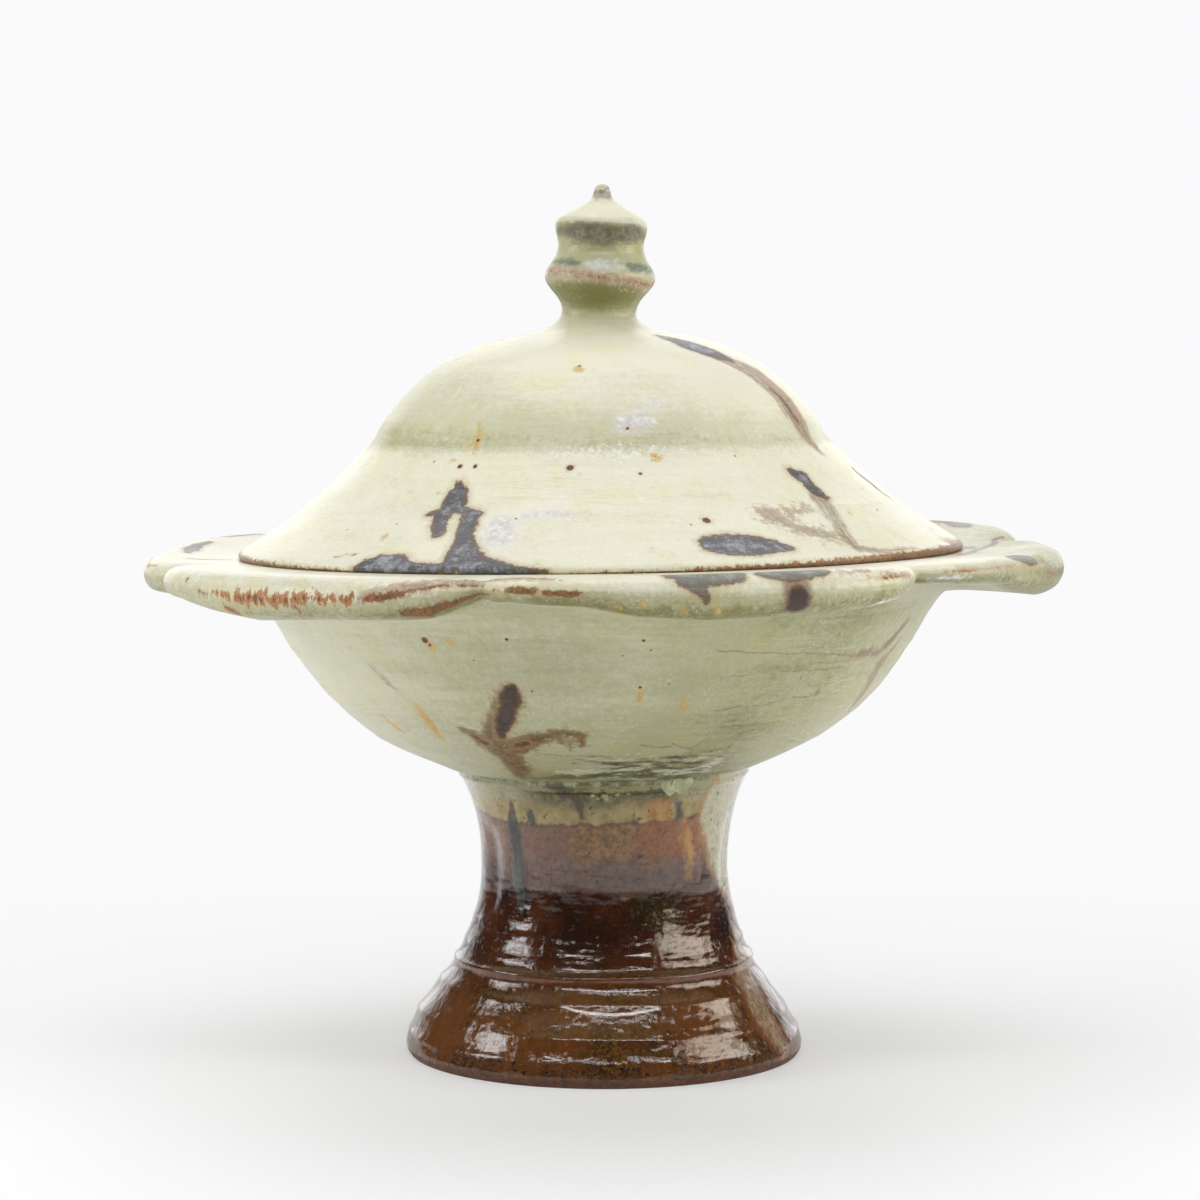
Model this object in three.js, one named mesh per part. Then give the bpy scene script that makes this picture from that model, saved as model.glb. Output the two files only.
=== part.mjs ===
// A covered bonbon dish in glazed stoneware: a bowl with a wide rim of pinched petals on a
// hollow pedestal, under a domed lid with a turned knob. The six pieces are thrown one by one.
// Foot, bowl and rim are luted into the dish; dome, locating ring and knob are luted into the
// lid, which lifts off. Lengths are in millimetres, +Z is up, and the origin is the middle of
// the foot's standing face. Seen along +Y, the dish shows the side that faces -Y.

import * as THREE from "three";

const DEGREE = Math.PI / 180;

// How finely the surfaces are faceted: round the axis, and along each outline.
const ROUND_STEPS = 48;
const KNOB_STEPS = 32;
const WALL_STEPS = 10;
const KNOB_OUTLINE_STEPS = 22;
const FOOT_OUTLINE_STEPS = 20;
const ROLL_STEPS = 8;
const PETAL_STEPS = 14;
const NOTCH_CROWDING = 0.12;

// Joints: the film of slip between two luted faces, and the play of the loose lid.
const SLIP_FILM = 0.05;
const LID_PLAY = 1.8;

// Pedestal foot, from the table up.
const FOOT_RADIUS = 45.2;
const FOOT_UNDERCUT = 0.9;
const FOOT_RING_WIDTH = 7;
const FOOT_EDGE_RISE = 3;
const FOOT_LEDGE_RADIUS = 35.4;
const FOOT_FLARE_RISE = 17;
const FOOT_FLARE_SWELL = 0.35;
const STEM_RADIUS = 28.2;
const STEM_RISE = 22;
const STEM_CURVE = 1.7;
const FOOT_TOP_RADIUS = 33.8;
const FOOT_TOP_RISE = 24.5;
const FOOT_TOP_CURVE = 2.4;
const FOOT_WALL = 6.5;
const THROWING_RING_PITCH = 8.5;
const THROWING_RING_DEPTH = 0.5;
const THROWING_RING_FADE = 5;

// Bowl.
const BOWL_BASE_RADIUS = 35.5;
const BOWL_RISE = 37;
const BOWL_WALL = 5.5;
const BOWL_FLOOR = 6;
const BOWL_BASE_SLOPE = 22 * DEGREE;
const BOWL_BASE_REACH = 25.5;
const BOWL_LIP_SLOPE = 59 * DEGREE;
const BOWL_LIP_REACH = 23;

// Petal rim: the lid's seat, the flange and the rolled edge.
const MOUTH_RADIUS = 70;
const SEAT_WIDTH = 13;
const RIM_RISE = 11.75;
const FLANGE_THICKNESS = 8;
const FLANGE_FILLET = 4;
const UNDERCUT_ANGLE = 100 * DEGREE;
const RIM_RADIUS = 105.8;
const ROLL_RADIUS = 4.7;
const PETALS = 6;
const FIRST_NOTCH = 14.5 * DEGREE;
const NOTCH_DEPTH = 11;
const NOTCH_HALF_WIDTH = 5 * DEGREE;
const NOTCH_PINCH = 2.4;
const CREASE_DEPTH = 0.5;
const PETAL_LIFT = 0.7;

// Lid: skirt, dome and the ring under it that keeps the lid in the mouth.
const LID_WALL = 5;
const LID_EDGE_THICKNESS = 1.8;
const SKIRT_RISE = 25.25;
const SKIRT_SAG = 2.3;
const SHOULDER_RADIUS = 52.6;
const SHOULDER_SLOPE = 66 * DEGREE;
const SHOULDER_REACH = 13.8;
const DOME_RISE = 25;
const DOME_TOP_SLOPE = 3.5 * DEGREE;
const DOME_TOP_REACH = 18.3;
const RING_THICKNESS = 4.5;
const RING_DEPTH = 8;
const RING_BEVEL = 1.1;

// Knob, from the dome up.
const KNOB_BASE_RADIUS = 13.5;
const KNOB_PAD_MARGIN = 0.8;
const KNOB_BASE_EDGE = 0.5;
const KNOB_NECK_RADIUS = 8.6;
const KNOB_NECK_RISE = 4.8;
const KNOB_COLLAR_RADIUS = 12.6;
const KNOB_COLLAR_RISE = 8;
const KNOB_WAIST_RADIUS = 9.8;
const KNOB_WAIST_RISE = 7.2;
const KNOB_CAP_RADIUS = 10.5;
const KNOB_CAP_RISE = 4;
const KNOB_EAVES_RADIUS = 9.5;
const KNOB_EAVES_RISE = 2.4;
const KNOB_ROOF_RISE = 4;
const KNOB_BEAD_RADIUS = 2.8;
const KNOB_BEAD_COVE = 0.7;
const KNOB_BEAD_RISE = 3.5;

// Heights that follow from the pieces below.
const FOOT_HEIGHT = FOOT_EDGE_RISE + FOOT_FLARE_RISE + STEM_RISE + FOOT_TOP_RISE;
const BOWL_BASE = FOOT_HEIGHT + SLIP_FILM;
const RIM_BASE = BOWL_BASE + BOWL_RISE + SLIP_FILM;
const LID_BASE = RIM_BASE + RIM_RISE + SLIP_FILM;

// Radii that follow from what fits inside.
const BOWL_LIP_RADIUS = MOUTH_RADIUS + BOWL_WALL / Math.sin(BOWL_LIP_SLOPE);
const LID_RADIUS = MOUTH_RADIUS + SEAT_WIDTH;
const LOCATING_RING_RADIUS = MOUTH_RADIUS - LID_PLAY;
const KNOB_PAD_RADIUS = KNOB_BASE_RADIUS + KNOB_PAD_MARGIN;

const PALE_GLAZE = new THREE.MeshStandardMaterial({ color: 0xd6d8b4, roughness: 0.38, metalness: 0 });
const BROWN_GLAZE = new THREE.MeshStandardMaterial({ color: 0x4a2a18, roughness: 0.16, metalness: 0 });
const BARE_CLAY = new THREE.MeshStandardMaterial({ color: 0x8a5a3c, roughness: 0.8, metalness: 0 });

// Evenly spaced numbers from a to b, both ends included.
function spaced(a, b, steps) {
  return Array.from({ length: steps + 1 }, (_, i) => a + ((b - a) * i) / steps);
}

// Points [radius, height] along a three.js curve.
function along(curve, steps) {
  return curve.getPoints(steps).map((point) => [point.x, point.y]);
}

// A point a given way from another, at an angle above the horizontal.
function polar(start, angle, length) {
  return new THREE.Vector2(length, 0).rotateAround(new THREE.Vector2(), angle).add(start);
}

// A wall thrown on the wheel: the outline is turned about the axis. It either closes on itself
// or starts and ends on the axis.
function turned(outline, steps) {
  const points = outline.map(([radius, height]) => new THREE.Vector2(radius, height));
  if (points[0].x > 0) points.push(points[0].clone());
  return new THREE.LatheGeometry(points, steps).rotateX(Math.PI / 2);
}

// An outline moved inwards by the wall, square to its own direction.
function inset(outline, wall) {
  return outline.map((point, i) => {
    const before = outline[Math.max(i - 1, 0)];
    const after = outline[Math.min(i + 1, outline.length - 1)];
    const run = [after[0] - before[0], after[1] - before[1]];
    const length = Math.hypot(...run);
    return [point[0] - (wall * run[1]) / length, point[1] + (wall * run[0]) / length];
  });
}

// The foot's smooth outer radius at a height: flare, stem and the spread under the bowl.
function footRadius(height) {
  const ledge = FOOT_EDGE_RISE + FOOT_FLARE_RISE;
  const waist = ledge + STEM_RISE;
  if (height < ledge) {
    const share = (ledge - height) / FOOT_FLARE_RISE;
    const swell = 1 + FOOT_FLARE_SWELL * (1 - share);
    return FOOT_LEDGE_RADIUS + (FOOT_RADIUS - FOOT_LEDGE_RADIUS) * share * swell;
  }
  if (height < waist) {
    const share = (waist - height) / STEM_RISE;
    return STEM_RADIUS + (FOOT_LEDGE_RADIUS - STEM_RADIUS) * share ** STEM_CURVE;
  }
  const share = (height - waist) / FOOT_TOP_RISE;
  return STEM_RADIUS + (FOOT_TOP_RADIUS - STEM_RADIUS) * share ** FOOT_TOP_CURVE;
}

// The ridges that the fingers leave on the flare, fading out at the edge and at the stem.
function throwingRings(height) {
  const ledge = FOOT_EDGE_RISE + FOOT_FLARE_RISE;
  const { smoothstep } = THREE.MathUtils;
  const low = smoothstep(height, FOOT_EDGE_RISE, FOOT_EDGE_RISE + THROWING_RING_FADE);
  const high = smoothstep(height, ledge, ledge + 2 * THROWING_RING_PITCH);
  const wave = Math.cos((2 * Math.PI * (height - ledge)) / THROWING_RING_PITCH);
  return THROWING_RING_DEPTH * low * (1 - high) * wave;
}

function footGeometry() {
  const outside = spaced(FOOT_EDGE_RISE, FOOT_HEIGHT, FOOT_OUTLINE_STEPS).map((height) => {
    return [footRadius(height) + throwingRings(height), height];
  });
  const inside = spaced(FOOT_HEIGHT, FOOT_EDGE_RISE, WALL_STEPS).map((height) => {
    return [footRadius(height) - FOOT_WALL, height];
  });
  const standing = FOOT_RADIUS - FOOT_UNDERCUT;
  return turned([[standing, 0], ...outside, ...inside, [standing - FOOT_RING_WIDTH, 0]], ROUND_STEPS);
}

function bowlGeometry() {
  const base = new THREE.Vector2(BOWL_BASE_RADIUS, 0);
  const lip = new THREE.Vector2(BOWL_LIP_RADIUS, BOWL_RISE);
  const side = new THREE.CubicBezierCurve(
    base,
    polar(base, BOWL_BASE_SLOPE, BOWL_BASE_REACH),
    polar(lip, BOWL_LIP_SLOPE, -BOWL_LIP_REACH),
    lip,
  );
  const outside = along(side, WALL_STEPS);
  const inside = inset(outside, BOWL_WALL)
    .filter(([, height]) => height > BOWL_FLOOR && height < BOWL_RISE - BOWL_WALL / 4)
    .reverse();
  return turned([[0, 0], ...outside, [MOUTH_RADIUS, BOWL_RISE], ...inside,
    [BOWL_BASE_RADIUS - BOWL_WALL, BOWL_FLOOR], [0, BOWL_FLOOR]], ROUND_STEPS);
}

// How deep the rim is pinched at an angle: 1 in the middle of a notch and 0 along a petal.
function pinch(angle) {
  const petal = (2 * Math.PI) / PETALS;
  const turn = THREE.MathUtils.euclideanModulo(angle - FIRST_NOTCH + petal / 2, petal) - petal / 2;
  return Math.exp(-Math.abs(turn) / NOTCH_HALF_WIDTH);
}

// The rim's section at an angle, anticlockwise from the foot of the mouth's wall. The roll
// gets thinner in a notch and is drawn in, and its top sinks from just above the seat's level
// to just below it.
function rimSection(angle) {
  const notch = pinch(angle);
  const roll = ROLL_RADIUS - NOTCH_PINCH * notch;
  const rollTop = RIM_RISE + PETAL_LIFT * (1 - notch) - CREASE_DEPTH * notch;
  const rollMiddle = [RIM_RADIUS - NOTCH_DEPTH * notch - roll, rollTop - roll];
  const underside = RIM_RISE - FLANGE_THICKNESS;
  const edge = spaced(-UNDERCUT_ANGLE, Math.PI / 2, ROLL_STEPS).map((turn) => {
    return [rollMiddle[0] + roll * Math.cos(turn), rollMiddle[1] + roll * Math.sin(turn)];
  });
  return [
    [MOUTH_RADIUS, 0],
    [BOWL_LIP_RADIUS, 0],
    [BOWL_LIP_RADIUS + FLANGE_FILLET / 3, underside / 2],
    [BOWL_LIP_RADIUS + FLANGE_FILLET, underside],
    ...edge,
    [LID_RADIUS, RIM_RISE],
    [MOUTH_RADIUS, RIM_RISE],
  ];
}

// The rim is a skin over its sections, which stand closer together at the notches.
function rimGeometry() {
  const angles = spaced(0, PETALS, PETALS * PETAL_STEPS).slice(0, -1).map((petals) => {
    const crowded = petals - NOTCH_CROWDING * Math.sin(2 * Math.PI * petals);
    return FIRST_NOTCH + (2 * Math.PI * crowded) / PETALS;
  });
  const sections = angles.map(rimSection);
  const around = sections.length;
  const across = sections[0].length;
  const positions = sections.flatMap((section, i) => section.flatMap(([radius, height]) => {
    return [radius * Math.cos(angles[i]), radius * Math.sin(angles[i]), height];
  }));
  const faces = [];
  for (let i = 0; i < around; i++) {
    for (let j = 0; j < across; j++) {
      const here = i * across + j;
      const up = i * across + ((j + 1) % across);
      const next = ((i + 1) % around) * across + j;
      const nextUp = ((i + 1) % around) * across + ((j + 1) % across);
      faces.push(here, next, nextUp, here, nextUp, up);
    }
  }
  const geometry = new THREE.BufferGeometry();
  geometry.setAttribute("position", new THREE.Float32BufferAttribute(positions, 3));
  geometry.setIndex(faces);
  geometry.computeVertexNormals();
  return geometry;
}

// The lid's outside from its edge to the pad under the knob: a sagging skirt, then the dome.
function lidOutside() {
  const edge = new THREE.Vector2(LID_RADIUS, LID_EDGE_THICKNESS);
  const shoulder = new THREE.Vector2(SHOULDER_RADIUS, SKIRT_RISE);
  const pad = new THREE.Vector2(KNOB_PAD_RADIUS, SKIRT_RISE + DOME_RISE);
  const sag = new THREE.Vector2().addVectors(edge, shoulder).multiplyScalar(0.5);
  sag.y -= 2 * SKIRT_SAG;
  const skirt = new THREE.QuadraticBezierCurve(edge, sag, shoulder);
  const dome = new THREE.CubicBezierCurve(
    shoulder,
    polar(shoulder, Math.PI - SHOULDER_SLOPE, SHOULDER_REACH),
    polar(pad, -DOME_TOP_SLOPE, DOME_TOP_REACH),
    pad,
  );
  return [...along(skirt, WALL_STEPS / 2).slice(0, -1), ...along(dome, WALL_STEPS)];
}

function lidGeometry() {
  const outside = lidOutside();
  const ringFoot = LOCATING_RING_RADIUS - RING_THICKNESS;
  const inside = inset(outside, LID_WALL)
    .filter(([radius, height]) => radius < ringFoot && radius > KNOB_PAD_RADIUS && height > 0)
    .reverse();
  const underKnob = SKIRT_RISE + DOME_RISE - LID_WALL;
  return turned([[0, underKnob], ...inside, [ringFoot, 0], [LID_RADIUS - LID_EDGE_THICKNESS / 2, 0],
    [LID_RADIUS, LID_EDGE_THICKNESS / 2], ...outside, [0, SKIRT_RISE + DOME_RISE]], ROUND_STEPS);
}

function locatingRingGeometry() {
  const outer = LOCATING_RING_RADIUS;
  const inner = outer - RING_THICKNESS;
  const edge = RING_BEVEL - RING_DEPTH;
  return turned([[inner, 0], [inner, edge], [inner + RING_BEVEL, -RING_DEPTH],
    [outer - RING_BEVEL, -RING_DEPTH], [outer, edge], [outer, 0]], ROUND_STEPS);
}

function knobGeometry() {
  const neck = KNOB_NECK_RISE;
  const collar = neck + KNOB_COLLAR_RISE;
  const waist = collar + KNOB_WAIST_RISE;
  const cap = waist + KNOB_CAP_RISE;
  const eaves = cap + KNOB_EAVES_RISE;
  const bead = eaves + KNOB_ROOF_RISE;
  const side = new THREE.SplineCurve([
    [KNOB_BASE_RADIUS, KNOB_BASE_EDGE],
    [KNOB_NECK_RADIUS, neck],
    [KNOB_COLLAR_RADIUS, collar],
    [KNOB_WAIST_RADIUS, waist],
    [KNOB_CAP_RADIUS, cap],
    [KNOB_EAVES_RADIUS, eaves],
    [KNOB_BEAD_RADIUS + KNOB_BEAD_COVE, bead - KNOB_BEAD_COVE],
    [KNOB_BEAD_RADIUS, bead],
  ].map(([radius, height]) => new THREE.Vector2(radius, height)));
  const top = new THREE.EllipseCurve(0, bead, KNOB_BEAD_RADIUS, KNOB_BEAD_RISE, 0, Math.PI / 2);
  const beadSide = along(top, ROLL_STEPS / 2).slice(1, -1);
  return turned([[0, 0], [KNOB_BASE_RADIUS, 0], ...along(side, KNOB_OUTLINE_STEPS), ...beadSide,
    [0, bead + KNOB_BEAD_RISE]], KNOB_STEPS);
}

function piece(name, geometry, material, height) {
  const mesh = new THREE.Mesh(geometry, material);
  mesh.name = name;
  mesh.position.z = height;
  return mesh;
}

const dish = new THREE.Group();
dish.add(
  piece("pedestal_foot", footGeometry(), BROWN_GLAZE, 0),
  piece("bowl", bowlGeometry(), PALE_GLAZE, BOWL_BASE),
  piece("petal_rim", rimGeometry(), PALE_GLAZE, RIM_BASE),
);

const lid = new THREE.Group();
lid.position.z = LID_BASE;
lid.add(
  piece("lid_dome", lidGeometry(), PALE_GLAZE, 0),
  piece("locating_ring", locatingRingGeometry(), BARE_CLAY, -SLIP_FILM),
  piece("knob", knobGeometry(), PALE_GLAZE, SKIRT_RISE + DOME_RISE + SLIP_FILM),
);

const bonbonDish = new THREE.Group();
bonbonDish.add(dish, lid);

export default bonbonDish;
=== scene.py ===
"""A covered bonbon dish in ash-glazed stoneware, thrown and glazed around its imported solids.

Lengths in this file are in millimetres, and angles in degrees, unless a name says otherwise. A
place on the pot is a turn and a height: the turn is counted from the front towards the right,
and the height from the table. On the rim the reach takes the height's place. It is measured
over the clay from the mouth's edge outwards and round the roll.
"""

import math
from functools import cached_property, reduce

import bpy
import numpy as np
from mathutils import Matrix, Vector


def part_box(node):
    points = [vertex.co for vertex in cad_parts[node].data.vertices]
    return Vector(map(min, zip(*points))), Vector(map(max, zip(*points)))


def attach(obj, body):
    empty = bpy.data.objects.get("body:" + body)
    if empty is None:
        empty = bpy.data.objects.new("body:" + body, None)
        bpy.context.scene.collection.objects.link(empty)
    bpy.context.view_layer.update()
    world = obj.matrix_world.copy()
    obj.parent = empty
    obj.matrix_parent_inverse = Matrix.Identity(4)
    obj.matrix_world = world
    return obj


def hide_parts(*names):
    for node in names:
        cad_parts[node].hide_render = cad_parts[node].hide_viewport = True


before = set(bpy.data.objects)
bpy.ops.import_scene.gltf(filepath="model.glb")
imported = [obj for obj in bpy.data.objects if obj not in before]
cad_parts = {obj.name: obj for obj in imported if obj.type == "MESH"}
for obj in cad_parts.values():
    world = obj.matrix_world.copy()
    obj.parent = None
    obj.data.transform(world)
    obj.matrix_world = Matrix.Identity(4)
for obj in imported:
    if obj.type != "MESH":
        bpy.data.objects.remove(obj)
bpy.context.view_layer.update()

bl_info = {
    "name": "Covered bonbon dish",
    "version": (1, 0, 0),
    "blender": (4, 5, 0),
    "location": "View3D > Sidebar > Bonbon dish",
    "description": "Throws and glazes a covered stoneware bonbon dish around its solids",
    "category": "Object",
}

MM = 0.001


def base_of(node):
    """The lowest level of a solid, in millimetres."""
    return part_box(node)[0].z / MM


FOOT_BASE = base_of("pedestal_foot")
FOOT_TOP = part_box("pedestal_foot")[1].z / MM
BOWL_BASE = base_of("bowl")
RIM_BASE = base_of("petal_rim")
LID_BASE = base_of("lid_dome")
RING_BASE = base_of("locating_ring")
KNOB_BASE = base_of("knob")

# Outlines as (radius, height above the piece's base). Each row is one smooth run of the wall,
# and neighbouring runs meet in an edge.
FOOT_OUTSIDE = [
    (34, 66.5), (31.1, 59), (29.3, 51), (28.7, 42), (29.8, 34), (32.5, 26), (35.4, 20),
    (41.2, 12), (44.6, 6), (45.8, 3), (45.7, 1.2), (45, 0),
]
FOOT_RING = [(45, 0), (37.4, 0)]
FOOT_INSIDE = [
    (37.4, 0), (37.7, 3), (34.4, 12), (28.9, 20), (25.9, 26), (23, 34), (21.7, 42), (22.2, 51),
    (24, 59), (27.3, 66.5),
]
FOOT_SHOULDER = [FOOT_INSIDE[-1], FOOT_OUTSIDE[0]]
BOWL_OUTSIDE = [
    (76.4, 37), (72.2, 30.1), (68.3, 24.2), (64.5, 19.1), (60.4, 14.7), (55.7, 10.7),
    (50.2, 7.05), (43.6, 3.5), (35.5, 0),
]
BOWL_UNDER = [(35.5, 0), (0, 0)]
BOWL_INSIDE = [
    (0, 6.3), (12, 6), (24, 6.1), (31, 6.5), (37, 7.7), (43, 9.9), (50, 13.6), (56, 18.3),
    (62.3, 25.5), (66.9, 32), (70, 37),
]
BOWL_LIP = [BOWL_INSIDE[-1], BOWL_OUTSIDE[0]]
RIM_TOP_AND_ROLL = [
    (70.9, 11.75), (76, 11.75), (83, 11.75), (90, 11.7), (96, 12), (101.1, 12.45), (104.4, 11.1),
    (105.8, 7.75), (104.4, 4.4), (101.1, 3.05), (98.4, 3.2),
]
RIM_UNDER = [(98.4, 3.2), (90, 3.75), (83, 3.75), (80.3, 3.3), (78.2, 1.9), (76.6, 0)]
# The glaze runs over the joint with the bowl and thins out on its wall.
RIM_RUN = [(76.6, 0), (76, -0.9), (75.35, -1.9), (74.9, -2.1)]
RIM_JOINT = [(74.9, -2.1), (74.2, -0.8), (70, 0)]
RIM_MOUTH = [(70, 0), (70, 6), (70, 10.6), (70.25, 11.45), (70.9, 11.75)]
LID_OUTSIDE = [
    (0, 50.35), (8, 50.35), (14.3, 50.2), (20.5, 49.5), (27.2, 47.65), (33.2, 45.1),
    (38.2, 42.05), (43, 38.1), (46.8, 34.3), (49.9, 30), (52.7, 25.5), (60.2, 18), (67.8, 11.4),
    (75.4, 6), (80.4, 3), (82.4, 1.75), (83, 1), (82.7, 0.25), (81.9, 0),
]
LID_UNDER = [(81.9, 0), (63.7, 0)]
LID_INSIDE = [
    (63.7, 0), (61, 2.9), (55.5, 10.5), (50.1, 20.6), (47.3, 25.6), (41.5, 33.3), (35, 38.6),
    (28.7, 41.9), (20, 44.4), (10, 45.2), (0, 45.3),
]
LOCATING_RING = [
    (63.8, 8), (68.1, 8), (68.2, 4), (68, 1.2), (67.2, 0.15), (66, 0), (65, 0.15), (64, 1),
    (63.7, 4), (63.8, 8),
]
KNOB_BEAD = [
    (0, 33.9), (0.8, 33.8), (1.4, 33.4), (1.75, 32.8), (1.95, 32), (2.2, 31.2), (2.75, 30.35),
]
KNOB_OUTSIDE = [
    (2.75, 30.35), (4.3, 29.5), (6.8, 28.1), (8.9, 26.9), (10.1, 25.9), (10.55, 24.8),
    (10.45, 23.2), (10, 21.4), (9.8, 19.8), (10.15, 18), (11.1, 16.1), (12.15, 14.4),
    (12.65, 12.8), (12.4, 11.5), (11.3, 9.9), (9.7, 8), (8.8, 6.4), (8.55, 4.8), (9.1, 3.2),
    (10.9, 1.7), (13.6, 0.5), (17.5, -0.35),
]
KNOB_UNDER = [(17.5, -0.35), (12, -0.5), (0, -0.5)]

# How a wall's outline is stepped: fine where it shows and coarse where it doesn't.
SHOWN = 0.62
HIDDEN = 2.2
# Points closer than this are one.
WELD = 0.005
# Keeps a stroke of no length from dividing by nothing.
LEAST = 1e-9
# What stands for a place far outside every mark.
FAR_OUT = -40.0

# The pot leans a little: all that stands above the waist of the foot is a touch off true.
WAIST_LEVEL = 25

# The rim's pinches: turn, how deep the edge is drawn in, how wide the pinch opens, how much of
# the roll's thickness is left, and how far the flange's top rises into it.
PINCHES = [
    (-14.9, 11.5, 2.9, 0.5, -0.6),
    (42.6, 9, 4.2, 0.6, -0.5),
    (101, 7, 5, 0.5, -0.4),
    (164.5, 10, 5, 0.5, -0.4),
    (224.5, 11, 5, 0.5, -0.4),
    (284.5, 11, 5, 0.5, -0.4),
]

# The roll's highest and lowest level above the rim's base.
ROLL_TOP = 12.45
ROLL_BOTTOM = 3.05

# How far the roll's underside is drawn up along the edge, as (turn, rise), and how far the whole
# edge is lifted towards the back.
ROLL_RISE = [
    (-180, 1.5), (-152, 0), (-135, 2.4), (-128, 2.6), (-110, 0), (-84, 1), (-62, 2.2), (-53, 0.6),
    (-45, -0.5), (-34, 0.3), (-20, 0.5), (-15, 2.7), (-11, 4), (-7, 3.7), (-2, 3.3), (4, 1.2),
    (12, 0.2), (20, 0.4), (26, 0.6), (32, 0.9), (37, 1.6), (42, 3.6), (46, 4.4), (54, 4), (58, 3),
    (61, 1.8), (64, 1), (72, -0.4), (90, 0), (100, 2.2), (108, 2.6), (125, 0), (150, 0.6),
    (162, 2.6), (172, 2.4), (180, 1.5),
]
EDGE_LIFT = [
    (-180, 2), (-140, 2.6), (-112, 2.2), (-96, 0.6), (-84, 0), (88, 0), (100, 0.6), (110, 2.4),
    (126, 2.9), (150, 2.4), (180, 2),
]
# The knob was set on a little askew: its tilt to the right, and how far it is off centre.
KNOB_TILT = 2.3
KNOB_SHIFT = 0.3


# The marks on the pot are lists of strokes, and a stroke is a path of (turn, height, half width).
# The first ones are the iron brushed on the lid.
LID_INK = [
    [(-30.1, 133.6, 0.5), (-29.2, 131.4, 2.2), (-28.6, 129.4, 2.8), (-29.6, 127.4, 2.1),
     (-29.3, 125.6, 1.7), (-28, 123.2, 1.2)],
    [(-29.6, 127.6, 1), (-32.8, 127.3, 0.4)],
    [(-26.4, 128.2, 0.9), (-23.6, 127.4, 1.3), (-22.4, 127.3, 0.7)],
    [(-23.9, 126.8, 1.8), (-23.4, 125, 1.9), (-22.8, 122.6, 1.8), (-21.4, 120.2, 2.6),
     (-19.6, 117.8, 3.4), (-16, 116.9, 2.5), (-12.3, 116.2, 1.2), (-7.6, 115.8, 0.1)],
    [(-22.9, 124, 1.3), (-22.8, 120, 1.7), (-22.6, 116.4, 1.5)],
    [(-38.6, 115.9, 0.8), (-36.8, 116.8, 2), (-34.6, 117.3, 3), (-31.8, 117.5, 3),
     (-29.8, 116.8, 1.9), (-27.6, 116.5, 1.7), (-24.4, 116.6, 1.3)],
    [(17.8, 120.7, 2.8), (20.6, 120.5, 3.6), (24.4, 120.1, 3.5), (27.6, 119.7, 2.2),
     (30.6, 119.1, 0.4)],
    [(44.4, 135.2, 0.3), (45.4, 134.2, 1.3), (46.9, 133.3, 2.1), (47.4, 132.4, 1.5)],
    [(46.9, 131.8, 1.2), (47.2, 130.7, 1.9), (48.4, 129, 0.9)],
    [(74, 134, 0.5), (75, 131, 0.9), (76.2, 127.6, 0.4)],
    [(39, 164.8, 0.5), (42, 163.7, 2), (46.4, 162, 3.6), (51, 160.7, 3.2), (55.6, 159.3, 1.3)],
    [(60.4, 152.4, 0.2), (61.4, 148.4, 0.5), (61.6, 145, 0.3)],
]
# Dry brushing on the lid, thin enough for the glaze to show through.
LID_WASH = [
    [(46, 161.6, 1.6), (54, 159, 3), (60.4, 156, 4), (62.6, 151, 4.4), (62.4, 146, 4),
     (62, 141.6, 2.4), (62.6, 138, 0.8)],
    [(46.6, 129, 2.2), (45.7, 125.6, 2.1), (44, 122, 1.8), (43, 118.8, 1.4), (47.5, 117.6, 1.1),
     (57, 117.8, 0.4)],
    [(70, 118.4, 0.6), (76, 117.2, 2), (84, 116.6, 2)],
    [(112, 132, 0.5), (120, 128, 2.2), (129, 122, 2.6), (139, 118, 1)],
]
# Patches where the brush only scuffed the glaze.
LID_SCUFF = [
    [(29.6, 126.6, 1.2), (31.4, 125.8, 3), (33.6, 124.4, 2.8)],
    [(34.8, 126.6, 0.8), (38, 126.4, 1.2), (41.4, 127.4, 0.9)],
    [(34.6, 123.2, 2), (38, 122.4, 2.6), (41, 121, 1.8)],
]
# Whitish patches of thick glaze.
LID_BLOOM = [
    [(6.6, 145.4, 2.1), (10.6, 146.4, 2.5)],
    [(15.4, 150, 1.3)],
    [(-17.3, 124.8, 3.4), (-16.6, 122.6, 3.6)],
    [(-13.6, 126.6, 1), (-9, 127.2, 1.4), (-5.2, 126.8, 0.8)],
]
# Small runs and spots of ochre.
LID_OCHRE = [
    [(-31.3, 145.9, 0.3), (-30.3, 141, 0.8), (-30.1, 139.7, 0.4)],
    [(12.8, 138.6, 1.3)],
    [(-38.5, 122.5, 0.9)],
    [(-6.1, 157.6, 1.1)],
    [(51.2, 125.4, 0.7)],
    [(-34.9, 138.2, 0.4)],
    [(-34, 131.4, 0.35)],
]
# The bare, rusty edge of the skirt.
LID_EDGE_RUST = [
    [(-88, 116.4, 1.6), (-72, 116, 1.1), (-58, 115.7, 0.8), (-38, 115.5, 0.5), (-6, 115.5, 0.3),
     (13, 115.6, 0.6), (30, 115.8, 1.1), (60, 116.1, 1.7), (88, 116.4, 1.8), (120, 115.9, 1),
     (160, 115.7, 0.6), (200, 115.9, 1), (235, 115.7, 0.5), (272, 116.4, 1.6)],
    [(-44.6, 118.3, 0.1), (-42.6, 118.6, 0.3)],
    [(-41.6, 118.6, 0.1), (-40.2, 118.9, 0.25)],
]
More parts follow.
